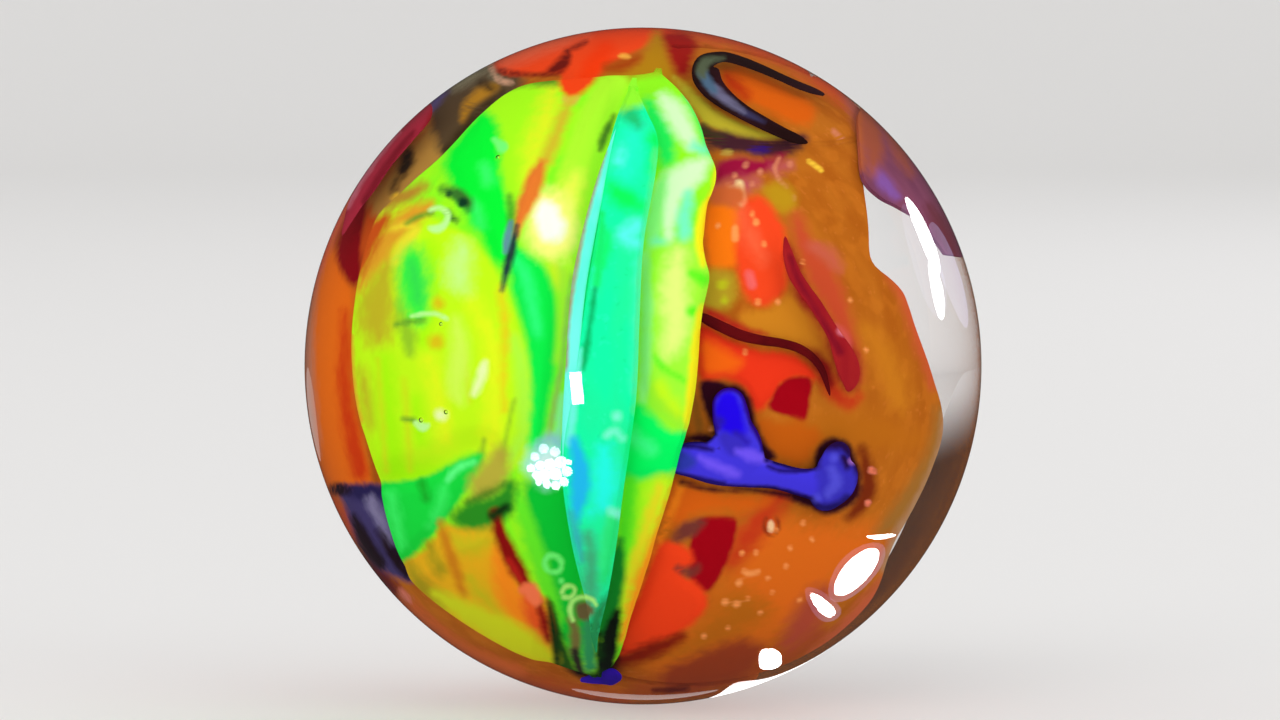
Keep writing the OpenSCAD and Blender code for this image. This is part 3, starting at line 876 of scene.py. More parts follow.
    ("violet_pale", (138, 130, 170), 6, [Streak((370, 500, 10), (382, 522, 10), (390, 544, 6))]),
    ("violet_dark", (32, 12, 26), 4, [
        Streak((330, 489, 4), (338, 489, 12), (350, 491, 6)),
        Streak((354, 516, 6), (362, 534, 12), (371, 550, 14), (382, 564, 10)),
        Streak((378, 530, 5), (388, 546, 9), (398, 560, 12), (408, 575, 9))]),
    ("bottom_black", (20, 14, 12), 5, [
        Streak((566, 664, 8), (590, 677, 10), (606, 670, 16), (613, 650, 13), (617, 630, 6))]),
    # Small seed bubbles, painted as pale glints.
    ("bubble_glints", (255, 160, 86), 2.5, [
        *dabs(5, (756, 553), (768, 578), (803, 523), (790, 548), (748, 598), (778, 302)),
        *dabs(7, (725, 602), (737, 604), (739, 583), (758, 302), (756, 222)),
        Streak((735, 228, 6), (735, 238, 7)), Streak((744, 571, 5), (750, 574, 6), (758, 572, 5)),
        *dabs(5, (812, 540), (742, 553), (760, 612), (752, 214), (803, 262), (745, 352),
              (711, 429), (704, 636), (764, 244), (718, 226), (786, 566), (772, 592),
              (776, 530), (800, 600), (728, 628), (850, 300), (866, 350))]),
]
GROUND_RELIEF = [  # field, height in mm, and how wide its slope is on the paper
    ("blaze", 0.2, 10), ("bright_red", 0.2, 10), ("cap", 0.2, 8), ("ember", 0.15, 8),
    ("straw", 0.12, 6),
]
GROUND_GRAINS = [(1.4 * MM, 0.50, 0.35, (214, 122, 34)), (0.4 * MM, 0.60, 0.14, (250, 150, 70))]


def make_ground():
    sheet = make_sheet("amber_shell", GROUND_ROWS, outer_radius("amber_ground"), GROUND_WALL,
                       GROUND_COLUMNS, GROUND_LINES, GROUND_PAINTS, GROUND_RELIEF)
    finish = streaky_finish("amber_streaks", (196, 110, 28), (180, 94, 20), GROUND_PAINTS,
                            GROUND_GRAINS)
    dress(sheet, finish, "amber_ground", "amber_ground", "red_patches", "khaki_bands")


make_ground()

# %% [markdown]
# ## The lime sheet
#
# Over the left half of the ground lies a broad sheet of bright lime glass with a hard
# edge. Bands of green and petals of yellow run over it, and an amber tongue crosses its
# foot. They overlap like brush strokes, so the order of the paints is the order in which
# the glass was laid on.
# A few paints on the lime are light, not glass: a painted reflection of a lamp, a painted halo
# round the sparkle, and a paler strip against the petal's shadow.

# %% Lime sheet, with its green bands and yellow petals
LIME_ROWS = [
    (68.6, -7, -4), (66.2, -14, 0), (63.6, -30, 3.6), (61, -44, 6.2), (58, -57, 8.5),
    (54.5, -61.4, 10.1), (50.5, -62, 11.3), (46.5, -61.8, 11.9),
    (43.4, -61.8, 13), (40.4, -62, 13.9),
    (37.3, -62.7, 13.6), (34.4, -64.2, 12.5), (31.9, -66.2, 11.4), (29.6, -68, 10.9),
    (27, -70.2, 10.6), (25, -72.4, 10.4), (23, -74, 10.2), (19.8, -74, 10.6),
    (16.2, -73.2, 11.7), (12.8, -72.4, 11.3), (9.5, -71.8, 10.7), (5, -71, 10.4),
    (-1, -70.4, 10.5), (-6.5, -69.7, 10.5), (-11, -69.1, 10.2), (-15, -68.3, 9.8),
    (-19, -67, 9), (-23, -66.7, 8.6), (-27, -67.3, 8.3), (-31, -68.9, 7.7), (-35, -71.2, 7.1),
    (-38.2, -73.3, 6.6), (-41.5, -75.8, 6.3), (-44.2, -77.6, 6), (-46.6, -78.6, 5.6),
    (-49.4, -78, 5.2), (-52, -76.8, 4.8), (-54.5, -75.4, 4.3), (-57, -73.8, 3.9),
    (-59.5, -72.2, 3.4), (-62.5, -70.3, 3), (-66.2, -67.8, 2.6), (-69.5, -65, 1.8),
    (-73.1, -59.5, 0.8), (-76, -55, -1.5), (-78.5, -49.5, -4.5),
    (-80.5, -43, -12), (-81.9, -34, -22),
]
APEX = [Streak((522, 590, 6), (530, 590, 14), (536, 600, 10))]
BUBBLE_RIM = [Streak((573, 620, 4), (570, 610, 5), (573, 601, 5), (582, 597, 5), (592, 600, 4),
                     (596, 605, 3))]
BUBBLE_HEART = [Patch((576, 604), (588, 602), (594, 610), (588, 619), (578, 618))]
LIME_COLUMNS = [(150, 1)]
LIME_LINES = 280
LIME_WALL = 0.35 * MM
LIME_PAINTS = [
    ("lime_left", (170, 255, 28), 18, [Patch(
        (480, 90), (530, 78), (560, 84), (556, 120), (540, 160), (520, 200), (500, 190),
        (488, 150), (470, 130))]),
    ("lime_warm", (226, 246, 36), 14, [
        Streak((552, 92, 14), (546, 120, 22), (536, 150, 22), (528, 180, 14)),
        Streak((572, 205, 20), (562, 250, 26), (558, 280, 12))]),
    ("shadow_top", (96, 140, 34), 6, [
        Streak((506, 86, 5), (524, 81, 9), (546, 81, 9), (559, 82, 5))]),
    ("gold_top", (178, 148, 20), 7, [
        Streak((594, 80, 6), (614, 76, 12), (640, 73, 16), (664, 70, 10))]),
    ("cap_tongue", (250, 70, 22), 5, [Patch(
        (556, 56), (606, 56), (599, 74), (590, 87), (580, 94), (570, 99), (564, 94), (560, 84))]),
    ("tongue_tip", (230, 186, 76), 4, [Streak((565, 99, 5), (571, 102, 8), (577, 99, 4))]),
    ("green_fall", (6, 248, 54), 8, [Patch(
        (478, 112), (492, 116), (500, 136), (500, 168), (508, 200), (516, 232), (508, 262),
        (494, 262), (482, 240), (468, 218), (456, 196), (448, 178), (444, 160), (460, 134))]),
    ("green_fall_light", (60, 254, 110), 9, [
        Streak((484, 168, 8), (488, 180, 10)), Streak((474, 206, 8), (482, 226, 6))]),
    ("moss", (60, 120, 44), 5, [
        Streak((443, 190, 8), (456, 194, 13), (466, 202, 12), (468, 210, 6)),
        Streak((448, 212, 5), (456, 220, 6))]),
    ("moss_dark", (16, 60, 36), 3, [
        *dabs(10, (463, 203)), *dabs(7, (449, 194)), *dabs(6, (452, 219))]),
    ("petal", (198, 254, 24), 5, [Patch(
        (440, 222), (470, 236), (492, 264), (510, 298), (522, 336), (531, 372), (534, 404),
        (532, 436), (522, 460), (504, 470), (486, 452), (468, 452), (450, 461), (432, 471),
        (410, 477), (376, 484), (352, 450), (342, 400), (340, 340), (346, 292), (356, 256),
        (376, 214), (404, 200))]),
    ("petal_ochre", (196, 184, 36), 14, [
        Streak((388, 262, 16), (380, 290, 30), (377, 316, 36), (378, 334, 24)),
        Streak((362, 372, 6), (366, 396, 12), (372, 424, 10))]),
    ("petal_amber", (228, 164, 40), 8, [
        Streak((358, 292, 4), (367, 272, 12), (380, 250, 22), (394, 234, 24), (410, 218, 22),
               (428, 206, 12))]),
    ("petal_sun", (244, 230, 50), 6, [Streak((396, 262, 8), (403, 246, 13), (416, 231, 8)),
                                      Streak((392, 229, 4), (404, 226, 5), (414, 227, 4))]),
    ("petal_orange", (206, 84, 24), 6, [
        Streak((354, 284, 4), (360, 266, 12), (366, 248, 18), (374, 232, 18), (385, 219, 12))]),
    ("olive_corner", (188, 142, 44), 8, [
        Streak((366, 220, 8), (376, 208, 14), (392, 200, 18), (412, 193, 14), (424, 186, 8))]),
    ("petal_edge", (232, 178, 44), 3, [
        Streak((351, 336, 4), (352, 370, 5), (356, 400, 5), (361, 422, 4))]),
    ("petal_lemon", (230, 252, 30), 14, [
        Streak((470, 300, 10), (490, 340, 16), (496, 380, 22), (494, 430, 20), (488, 462, 8)),
        Streak((430, 360, 12), (440, 400, 16), (446, 440, 14))]),
    ("petal_lime", (172, 254, 12), 12, [
        Streak((384, 360, 14), (388, 420, 22), (396, 470, 26), (440, 474, 16)),
        Streak((430, 250, 14), (432, 290, 12), (424, 340, 10)),
        Streak((416, 400, 8), (420, 440, 10))]),
    ("petal_far", (186, 254, 66), 9, [
        Streak((514, 340, 10), (524, 380, 16), (524, 430, 14), (510, 460, 8))]),
    ("petal_stripes", (208, 236, 26), 6, [
        Streak((378, 360, 4), (382, 420, 5), (386, 470, 4)),
        Streak((404, 380, 4), (408, 430, 5), (410, 470, 4)),
        Streak((460, 340, 4), (470, 400, 4))]),
    ("petal_spot_rim", (152, 206, 40), 7, [
        Streak((400, 300, 5), (404, 322, 13), (408, 338, 15), (410, 352, 8))]),
    ("petal_spot", (60, 248, 66), 11, [Patch(
        (404, 250), (418, 246), (428, 264), (430, 292), (426, 320), (412, 322), (402, 304),
        (397, 276))]),
    ("petal_spot_deep", (52, 226, 80), 8, [Streak((411, 264, 6), (416, 282, 12), (418, 302, 6))]),
    ("petal_mark", (98, 160, 44), 4, [
        Streak((396, 325, 4), (408, 322, 5), (424, 320, 4)),
        Streak((402, 419, 3), (414, 420, 4)),
        Streak((406, 224, 2), (418, 217, 4), (432, 213, 4))]),
    ("petal_rust", (222, 200, 24), 6, [*dabs(12, (438, 303)), *dabs(16, (436, 342))]),
    ("petal_pale", (202, 253, 138), 15, [Streak((462, 252, 14), (458, 275, 20), (464, 288, 10))]),
    ("petal_milk", (238, 254, 180), 5, [
        Streak((474, 394, 5), (480, 380, 9), (485, 364, 5)), *dabs(11, (441, 415))]),
    ("petal_mist", (212, 253, 84), 9, [
        Streak((456, 322, 10), (460, 350, 18), (456, 384, 18), (460, 400, 8))]),
    ("squiggles", (196, 255, 156), 2.5, [
        Streak((430, 210, 4), (440, 208, 5), (448, 214, 6), (446, 223, 6), (438, 229, 8),
               (430, 228, 5)),
        Streak((412, 316, 3), (424, 314, 4), (436, 314, 4), (447, 319, 4)),
        Streak((416, 423, 5), (423, 427, 8), (428, 425, 4))]),
    ("petal_line", (234, 214, 28), 7, [
        Streak((500, 288, 5), (504, 312, 9), (505, 340, 8), (504, 372, 5), (504, 410, 4))]),
    ("petal_crease", (156, 206, 40), 4, [
        Streak((514, 400, 3), (509, 425, 4), (503, 455, 4), (502, 476, 3)),
        Streak((484, 440, 3), (481, 458, 7), (479, 470, 6))]),
    ("band", (12, 244, 76), 6, [Patch(
        (508, 250), (520, 248), (540, 262), (552, 284), (556, 310), (556, 340), (554, 372),
        (549, 400), (546, 430), (542, 452), (528, 446), (531, 410), (531, 380), (528, 350),
        (520, 316), (512, 286))]),
    ("band_light", (48, 255, 128), 8, [
        Streak((518, 262, 7), (527, 282, 10), (532, 304, 10), (538, 334, 7))]),
    ("mid_lime", (176, 244, 58), 7, [
        Streak((562, 256, 12), (564, 290, 9), (562, 330, 6), (558, 360, 5))]),
    ("mid_olive", (150, 200, 88), 4, [
        Streak((574, 262, 3), (569, 300, 4), (565, 340, 4), (561, 372, 4), (555, 402, 6),
               (551, 426, 6), (548, 440, 5))]),
    ("mid_mint", (150, 246, 170), 5, [Streak((563, 396, 4), (560, 420, 7), (558, 444, 10))]),
    ("strip", (180, 254, 48), 6, [Patch(
        (604, 72), (628, 78), (620, 108), (608, 150), (596, 196), (586, 240), (578, 276),
        (562, 264), (544, 240), (540, 216), (554, 184), (566, 150), (580, 112), (592, 90))]),
    ("strip_yellow", (238, 255, 78), 12, [Streak((576, 178, 14), (566, 206, 26), (560, 240, 22))]),
    # Painted reflection of the key lamp: a white spot with a pale yellow halo round it.
    ("painted_reflection_halo", (255, 255, 130), 12, [Streak((548, 212, 44), (552, 232, 52))]),
    ("painted_reflection", (255, 255, 246), 7, [Streak((547, 214, 24), (551, 228, 27))]),
    ("rust_line", (214, 192, 44), 7, [
        Streak((571, 101, 6), (563, 118, 11), (555, 138, 13), (546, 158, 13))]),
    ("rust", (236, 124, 46), 5, [
        Streak((541, 164, 9), (536, 178, 17), (528, 198, 17), (520, 218, 12), (515, 236, 6))]),
    ("rust_moss", (64, 150, 40), 5, [Streak((510, 196, 5), (511, 214, 7), (511, 228, 5))]),
    ("slate_line", (36, 66, 60), 3.5, [
        Streak((517, 226, 4), (513, 242, 8), (509, 260, 9), (505, 276, 6), (502, 290, 4))]),
    ("slate_light", (98, 146, 160), 3, [Streak((511, 222, 4), (508, 236, 7), (505, 252, 4))]),
    ("smudge", (86, 136, 38), 4, [
        Streak((614, 116, 3), (609, 127, 7), (604, 138, 8), (600, 150, 3))]),
    ("right_lime", (152, 254, 34), 12, [Patch(
        (636, 78), (672, 78), (698, 108), (712, 142), (706, 180), (690, 200), (660, 150),
        (640, 110))]),
    ("right_green", (40, 246, 96), 8, [
        Streak((648, 104, 10), (660, 130, 24), (668, 158, 16)),
        Streak((688, 96, 7), (700, 118, 12), (708, 138, 12), (709, 154, 6))]),
    ("right_milk", (222, 255, 200), 8, [
        Streak((664, 98, 10), (674, 112, 22), (684, 130, 20), (692, 146, 10)),
        Streak((704, 162, 12), (690, 174, 26), (672, 190, 30), (668, 214, 18), (669, 240, 8))]),
    ("right_haze", (150, 255, 134), 6, [
        Streak((664, 178, 6), (658, 196, 14), (654, 220, 16), (652, 246, 12))]),
    ("right_aqua", (122, 248, 200), 7, [
        Streak((694, 146, 8), (704, 150, 8)),
        Streak((688, 194, 8), (684, 226, 12), (686, 250, 12), (690, 266, 6)),
        Streak((656, 240, 6), (668, 246, 6))]),
    ("panel", (166, 254, 56), 7, [Patch(
        (642, 262), (660, 246), (706, 240), (714, 270), (708, 320), (702, 380), (698, 434),
        (674, 428), (652, 410), (638, 380), (638, 310))]),
    ("panel_pale", (234, 254, 130), 12, [
        Streak((678, 254, 14), (674, 290, 26), (676, 326, 26), (668, 352, 14))]),
    ("panel_warm", (204, 254, 30), 9, [Streak((660, 388, 14), (678, 412, 14))]),
    ("panel_green", (100, 250, 34), 5, [
        Streak((692, 273, 8), (704, 280, 12)), *dabs(11, (692, 311)),
        Streak((654, 356, 4), (664, 368, 5), (690, 384, 4))]),
    # Painted light: the lime beside the petal is paler than its glass, against the shadow that the
    # petal casts on it.
    ("panel_left_lit", (160, 255, 140), 5, [
        Streak((645, 256, 8), (647, 310, 10), (646, 360, 10), (642, 400, 8))]),
    ("crossing", (4, 250, 100), 7, [Patch(
        (634, 404), (650, 414), (672, 430), (702, 432), (696, 456), (682, 480), (650, 480),
        (620, 478), (600, 450))]),
    ("crossing_light", (60, 255, 140), 9, [Streak((630, 436, 12), (652, 450, 10))]),
    ("foot_lime", (194, 254, 34), 7, [Patch(
        (648, 480), (684, 476), (680, 500), (672, 530), (662, 560), (650, 596), (640, 640),
        (622, 620), (626, 580), (634, 550), (640, 520))]),
    ("foot_jade", (98, 244, 40), 7, [
        Streak((630, 482, 12), (627, 508, 15), (624, 534, 12), (622, 552, 8))]),
    ("foot_warm", (240, 228, 36), 7, [
        Streak((660, 488, 10), (652, 512, 13), (643, 540, 13), (634, 566, 12), (629, 588, 9),
               (626, 606, 6))]),
    ("foot_fringe", (255, 160, 30), 6, [
        Streak((676, 484, 5), (667, 508, 7), (657, 536, 11), (648, 560, 12), (641, 582, 13),
               (634, 602, 11), (627, 622, 8), (621, 640, 6))]),
    ("right_edge", (252, 244, 30), 4, [
        Streak((717, 166, 3), (712, 194, 6), (703, 214, 9), (700, 240, 10), (703, 264, 6)),
        Streak((702, 306, 5), (699, 326, 10), (696, 352, 12), (693, 382, 12), (690, 405, 10),
               (687, 426, 6))]),
    ("right_orange", (255, 186, 26), 2.5, [
        Streak((710, 198, 3), (706, 222, 4), (705, 250, 4)),
        Streak((701, 330, 3), (699, 372, 3))]),
    ("deep_green", (10, 202, 54), 9, [Patch(
        (524, 482), (560, 474), (580, 490), (586, 560), (590, 640), (576, 660), (556, 630),
        (548, 590), (532, 540))]),
    ("light_green", (104, 242, 42), 8, [
        Streak((516, 494, 10), (527, 526, 16), (539, 560, 16), (551, 596, 12), (560, 620, 6))]),
    ("stem", (20, 140, 42), 5, [
        Streak((620, 540, 6), (617, 562, 16), (612, 586, 22), (607, 612, 22), (604, 630, 16))]),
    ("stem_black", (14, 22, 14), 5, [
        Streak((617, 612, 8), (611, 634, 17), (607, 654, 20), (604, 676, 18))]),
    ("foot_dark", (40, 86, 22), 5, [Patch(
        (545, 600), (552, 604), (560, 628), (570, 656), (582, 678), (566, 682), (552, 668),
        (546, 640))]),
    ("foot_olive", (126, 116, 62), 5, [Streak((572, 620, 8), (576, 638, 12), (574, 652, 8))]),
    ("foot_ash", (48, 44, 36), 4, [Streak((575, 652, 8), (578, 664, 10), (582, 674, 8))]),
    ("foot_teal", (50, 158, 96), 5, [Streak((588, 616, 9), (589, 640, 14), (590, 666, 12))]),
    ("wedge", (24, 226, 66), 4, [Patch(
        (364, 486), (384, 482), (410, 480), (432, 474), (450, 464), (468, 456), (483, 454),
        (480, 468), (470, 486), (458, 502), (446, 518), (436, 532), (420, 548), (406, 568),
        (392, 556), (378, 522))]),
    ("wedge_crest", (96, 255, 136), 4, [Streak((448, 480, 6), (458, 468, 8), (474, 462, 6))]),
    ("wedge_light", (60, 250, 104), 8, [
        Streak((392, 496, 10), (396, 524, 10), (402, 546, 6)),
        Streak((444, 488, 8), (440, 506, 8), (430, 526, 4))]),
    ("wedge_deep", (24, 176, 40), 6, [Streak((422, 484, 8), (426, 498, 7))]),
    ("amber_heart", (190, 178, 62), 9, [Patch(
        (470, 482), (484, 462), (500, 446), (508, 458), (505, 484), (490, 498), (472, 500))]),
    ("heart_olive", (96, 134, 34), 7, [Streak((468, 502, 8), (484, 496, 10), (502, 486, 6))]),
    ("tongue", (238, 178, 28), 5, [Patch(
        (444, 526), (462, 526), (494, 518), (506, 540), (520, 566), (534, 586), (548, 604),
        (552, 640), (552, 684), (520, 684), (480, 664), (440, 636), (396, 590), (396, 568),
        (426, 548))]),
    ("stub", (44, 146, 34), 7, [Patch(
        (452, 514), (470, 502), (492, 496), (510, 480), (516, 488), (512, 512), (498, 524),
        (476, 530), (456, 526))]),
    ("tongue_gold", (206, 190, 28), 10, [
        Streak((450, 538, 10), (466, 546, 20), (482, 543, 16)),
        Streak((470, 580, 10), (484, 598, 14), (500, 614, 10))]),
    ("tongue_olive", (176, 156, 26), 9, [
        Streak((410, 568, 10), (422, 586, 16), (442, 604, 16)),
        Streak((430, 548, 8), (440, 570, 12))]),
    ("tongue_orange", (255, 142, 28), 10, [
        Streak((498, 552, 10), (505, 576, 24), (514, 600, 30), (526, 620, 22))]),
    ("tongue_flame", (244, 92, 36), 7, [
        Streak((526, 592, 10), (534, 610, 22), (542, 630, 18), (546, 644, 8))]),
    ("tongue_bark", (212, 130, 24), 6, [
        Streak((441, 524, 6), (449, 550, 9), (457, 574, 9), (464, 596, 6))]),
    ("tongue_straw", (216, 224, 34), 8, [
        Streak((436, 594, 8), (456, 606, 18), (480, 620, 26), (506, 634, 30), (532, 648, 26),
               (552, 660, 12))]),
    ("blood_line", (142, 16, 14), 5, [
        Streak((495, 512, 8), (500, 532, 12), (509, 553, 15), (519, 572, 16), (528, 588, 10)),
        Streak((538, 600, 5), (543, 618, 7), (548, 640, 5))]),
    ("blood_light", (192, 34, 28), 4, [Streak((509, 560, 4), (518, 576, 6), (523, 584, 4))]),
    ("apex_soft", (255, 122, 70), 5, APEX),
    ("apex", (255, 122, 80), 4, APEX),
    ("ink", (16, 50, 16), 5, [
        Streak((493, 516, 9), (506, 507, 8)), Streak((549, 604, 5), (555, 640, 8), (558, 668, 7)),
        Streak((578, 680, 8), (592, 678, 12), (602, 674, 8)),
        Streak((600, 634, 6), (600, 656, 8))]),
    ("cyan_foot", (30, 196, 240), 8, [Streak((560, 450, 6), (580, 450, 16), (578, 500, 16))]),
    ("foam", (118, 255, 122), 3, [
        Streak((545, 561, 5), (549, 556, 5), (556, 556, 5), (561, 561, 6), (561, 568, 5),
               (556, 572, 5), (549, 571, 5), (545, 565, 5)),
        *dabs(5, (561, 581)), Streak((495, 140, 5), (502, 147, 10))]),
    ("froth", (184, 255, 132), 2.5, [
        Streak((562, 592, 4), (565, 587, 4), (572, 586, 4), (575, 591, 4), (571, 597, 4),
               (564, 597, 4)), *BUBBLE_RIM]),
    ("bubble_heart", (114, 98, 62), 4, BUBBLE_HEART),
    # Painted reflection: the pale cyan halo round the sparkle of small lamps, white in its middle
    # and bluish above it.
    ("spark_halo", (176, 244, 236), 10, [Streak((548, 464, 44))]),
    ("spark_core", (226, 252, 252), 7, [Streak((549, 466, 28))]),
    ("spark_blue", (150, 206, 224), 8, [Streak((541, 442, 6), (551, 438, 10), (558, 442, 7))]),
]
LIME_RELIEF = [("petal", 0.5, 30), ("green_fall", 0.25, 18), ("band", 0.25, 12),
               ("strip", 0.3, 16), ("tongue", 0.45, 22), ("panel", 0.3, 18),
               ("wedge", 0.2, 14), ("rust", 0.2, 8), ("crossing", 0.2, 14)]


def make_lime():
    sheet = make_sheet("lime_window", LIME_ROWS, outer_radius("lime_sheet"), LIME_WALL,
                       LIME_COLUMNS, LIME_LINES, LIME_PAINTS, LIME_RELIEF)
    finish = streaky_finish("lime_streaks", (166, 254, 30), (130, 252, 34), LIME_PAINTS)
    dress(sheet, finish, "lime_sheet", "lime_sheet", "green_bands", "yellow_petals",
          "orange_streaks")


make_lime()

# %% [markdown]
# ## The turquoise petal
#
# One narrow petal of turquoise lies over the lime sheet, near the front of the ball, with
# a bright cyan thread along its left edge. It lies nearer to the eye than any other
# colour, so it is a sheet of its own and not a paint on the lime.

# %% Turquoise petal
PETAL_ROWS = [
    (59, -12.5, -11), (57, -12.6, -10.2), (50, -13, -5.5), (43, -13, -1.5), (34, -12.6, -1.2),
    (20, -12, -2.2), (5, -12.4, -1.6), (-8, -13.4, -1), (-18, -14.8, -1.4), (-26, -14.6, -2),
    (-40, -13, -3), (-52, -11, -5), (-62, -10.5, -8.4), (-66, -10, -9.5),
]
PETAL_COLUMNS = [(60, 1)]
PETAL_LINES = 260
PETAL_WALL = 0.35 * MM
PETAL_PAINTS = [
    ("aqua_top", (34, 253, 200), 14, [Streak((634, 130, 18), (630, 156, 26), (622, 180, 20))]),
    ("teal_cap", (34, 200, 116), 8, [Streak((628, 98, 6), (630, 112, 18), (638, 124, 8))]),
    ("jade", (14, 250, 92), 10, [
        Streak((654, 140, 12), (660, 156, 18), (654, 168, 10)),
        Streak((610, 184, 10), (622, 196, 22), (640, 206, 12)),
        Streak((608, 236, 6), (602, 262, 7))]),
    ("ice", (90, 255, 238), 10, [
        Streak((636, 226, 12), (624, 236, 14), (640, 244, 10)),
        Streak((622, 150, 6), (618, 160, 8))]),
    ("green_seam", (24, 240, 112), 4, [
        Streak((602, 214, 6), (601, 240, 8), (599, 262, 8), (597, 284, 6))]),
    ("dark_seam", (12, 180, 98), 4, [
        Streak((595, 290, 4), (592, 312, 6), (589, 330, 5), (586, 350, 8), (583, 368, 5))]),
    ("ice_left", (108, 250, 224), 4, [
        Streak((580, 350, 4), (576, 380, 7), (573, 410, 8), (569, 442, 9))]),
    ("right_light", (66, 254, 194), 9, [
        Streak((640, 262, 6), (638, 310, 8), (636, 360, 6), (634, 390, 4))]),
    ("low_green", (4, 250, 112), 9, [
        Streak((640, 410, 10), (640, 440, 20), (634, 480, 16), (628, 520, 12))]),
    ("low_cyan", (38, 255, 234), 12, [
        Streak((604, 450, 12), (604, 480, 26), (602, 504, 18)), Streak((590, 512, 8))]),
    ("sky", (34, 190, 243), 6, [
        Streak((573, 440, 8), (579, 462, 17), (580, 486, 20), (577, 508, 12), (575, 522, 5))]),
    ("sky_teal", (52, 190, 188), 6, [Streak((571, 514, 6), (577, 536, 10), (582, 560, 6))]),
    ("stem_grey", (66, 182, 128), 9, [
        Streak((588, 534, 6), (591, 560, 15), (591, 586, 16), (590, 598, 10))]),
    ("stem_aqua", (64, 252, 152), 6, [Streak((613, 518, 12), (609, 544, 12), (603, 566, 7))]),
    ("foot_jade", (40, 236, 124), 9, [Streak((614, 520, 14), (610, 550, 14), (604, 580, 8))]),
    ("foot_green", (40, 150, 88), 6, [
        Streak((610, 596, 5), (598, 616, 14), (593, 640, 16), (592, 668, 10))]),
    ("tip_lime", (150, 252, 48), 7, [Patch(
        (600, 50), (664, 50), (662, 92), (644, 104), (628, 108), (616, 106))]),
    ("right_rim", (96, 248, 140), 6, [
        Streak((656, 150, 4), (654, 190, 8), (648, 240, 9), (643, 300, 9), (641, 360, 9),
               (637, 410, 7))]),
    ("froth", (184, 255, 132), 2.5, BUBBLE_RIM),
    ("bubble_heart", (114, 98, 62), 4, BUBBLE_HEART),
    ("pale_dots", (124, 254, 214), 5, [
        *dabs(8, (617, 416)), Streak((606, 436, 5), (614, 431, 6), (622, 438, 5)),
        Streak((612, 512, 8), (618, 514, 8))]),
]
PETAL_RELIEF = [("right_light", 0.06, 8)]
PETAL_GRAINS = [(0.5 * MM, 0.58, 0.2, (60, 255, 220)), (0.4 * MM, 0.62, 0.2, (10, 220, 110))]


def make_petal():
    sheet = make_sheet("turquoise_tongue", PETAL_ROWS, outer_radius("turquoise_petal"),
                       PETAL_WALL, PETAL_COLUMNS, PETAL_LINES, PETAL_PAINTS, PETAL_RELIEF)
    finish = streaky_finish("turquoise_streaks", (20, 254, 172), (34, 248, 160), PETAL_PAINTS,
                            PETAL_GRAINS)
    dress(sheet, finish, "turquoise_petal", "turquoise_petal")


make_petal()

# %% [markdown]
# ## The mauve veil
#
# Where the ground ends at the upper right, a thin mauve veil hangs on at the rim of the
# ball. Its outline is known as it is seen from the front and not in degrees, so it is a
# leaf between two lines that are drawn on the tracing paper.

# %% Mauve veil
VEIL_INNER = [(858, 116), (860, 148), (864, 178), (880, 196), (900, 207), (922, 222), (946, 254)]
VEIL_OUTER = [(866, 94), (890, 114), (914, 140), (934, 169), (950, 200), (962, 231), (968, 258)]
VEIL_COLUMNS = 30
VEIL_LINES = 60
VEIL_WALL = 0.3 * MM
VEIL_PAINTS = [
    ("mauve_tan", (196, 100, 40), 9, [
        Streak((856, 100, 8), (860, 116, 14), (861, 140, 11), (862, 164, 6))]),
    ("mauve_deep", (138, 88, 166), 6, [Streak((874, 168, 7), (885, 184, 13), (896, 196, 8))]),
    ("mauve_brown", (166, 84, 60), 9, [
        Streak((866, 106, 14), (872, 130, 22), (874, 152, 20), (872, 172, 8)),
        Streak((884, 124, 8), (898, 150, 12), (910, 172, 6))]),
    ("mauve_maroon", (118, 56, 68), 7, [
        Streak((930, 206, 8), (940, 224, 16), (948, 240, 16), (956, 254, 10))]),
]


def place_on(line, shares):
    """The places at shares of the way along a line of the paper."""
    steps = np.linspace(0, 1, len(line))
    return np.column_stack([np.interp(shares, steps, line[:, i]) for i in range(line.shape[1])])


def make_leaf(name, inner, outer, radius, thickness, columns, lines, paints):
    """A thin leaf between two lines on the paper."""
    leaf, across, down = flat_grid(name, columns, lines)
    start, end = place_on(curve(inner), down), place_on(curve(outer), down)
    spots = start + (end - start) * across[:, None]
    paint_sheet(leaf, through(spots, radius) / radius, radius, paints)
    wall_sheet(leaf, thickness)
    print(name, "faces:", len(leaf.data.polygons))
    return leaf


def make_veil():
    veil = make_leaf("mauve_veil", VEIL_INNER, VEIL_OUTER, outer_radius("violet_wedges"),
                     VEIL_WALL, VEIL_COLUMNS, VEIL_LINES, VEIL_PAINTS)
    finish = streaky_finish("mauve_streaks", (138, 74, 100), (124, 66, 92), VEIL_PAINTS)
    dress(veil, finish, "violet_wedges", "violet_wedges")


make_veil()

# %% [markdown]
# ## Canes
#
# Canes are thin rods of glass laid on while the ball is soft, so that they stretch,
# flatten and taper. A curve with a bevel would make a round rod, so each starts as a
# flat grid that is rolled into a tube: its rows follow a streak, and each row becomes an
# oval as wide as the streak is there.

# %% Pulling a cane
CANE_SIDES = 14
CANE_HEIGHT = 0.3 * MM
CANE_SEAM = 0.0005 * MM


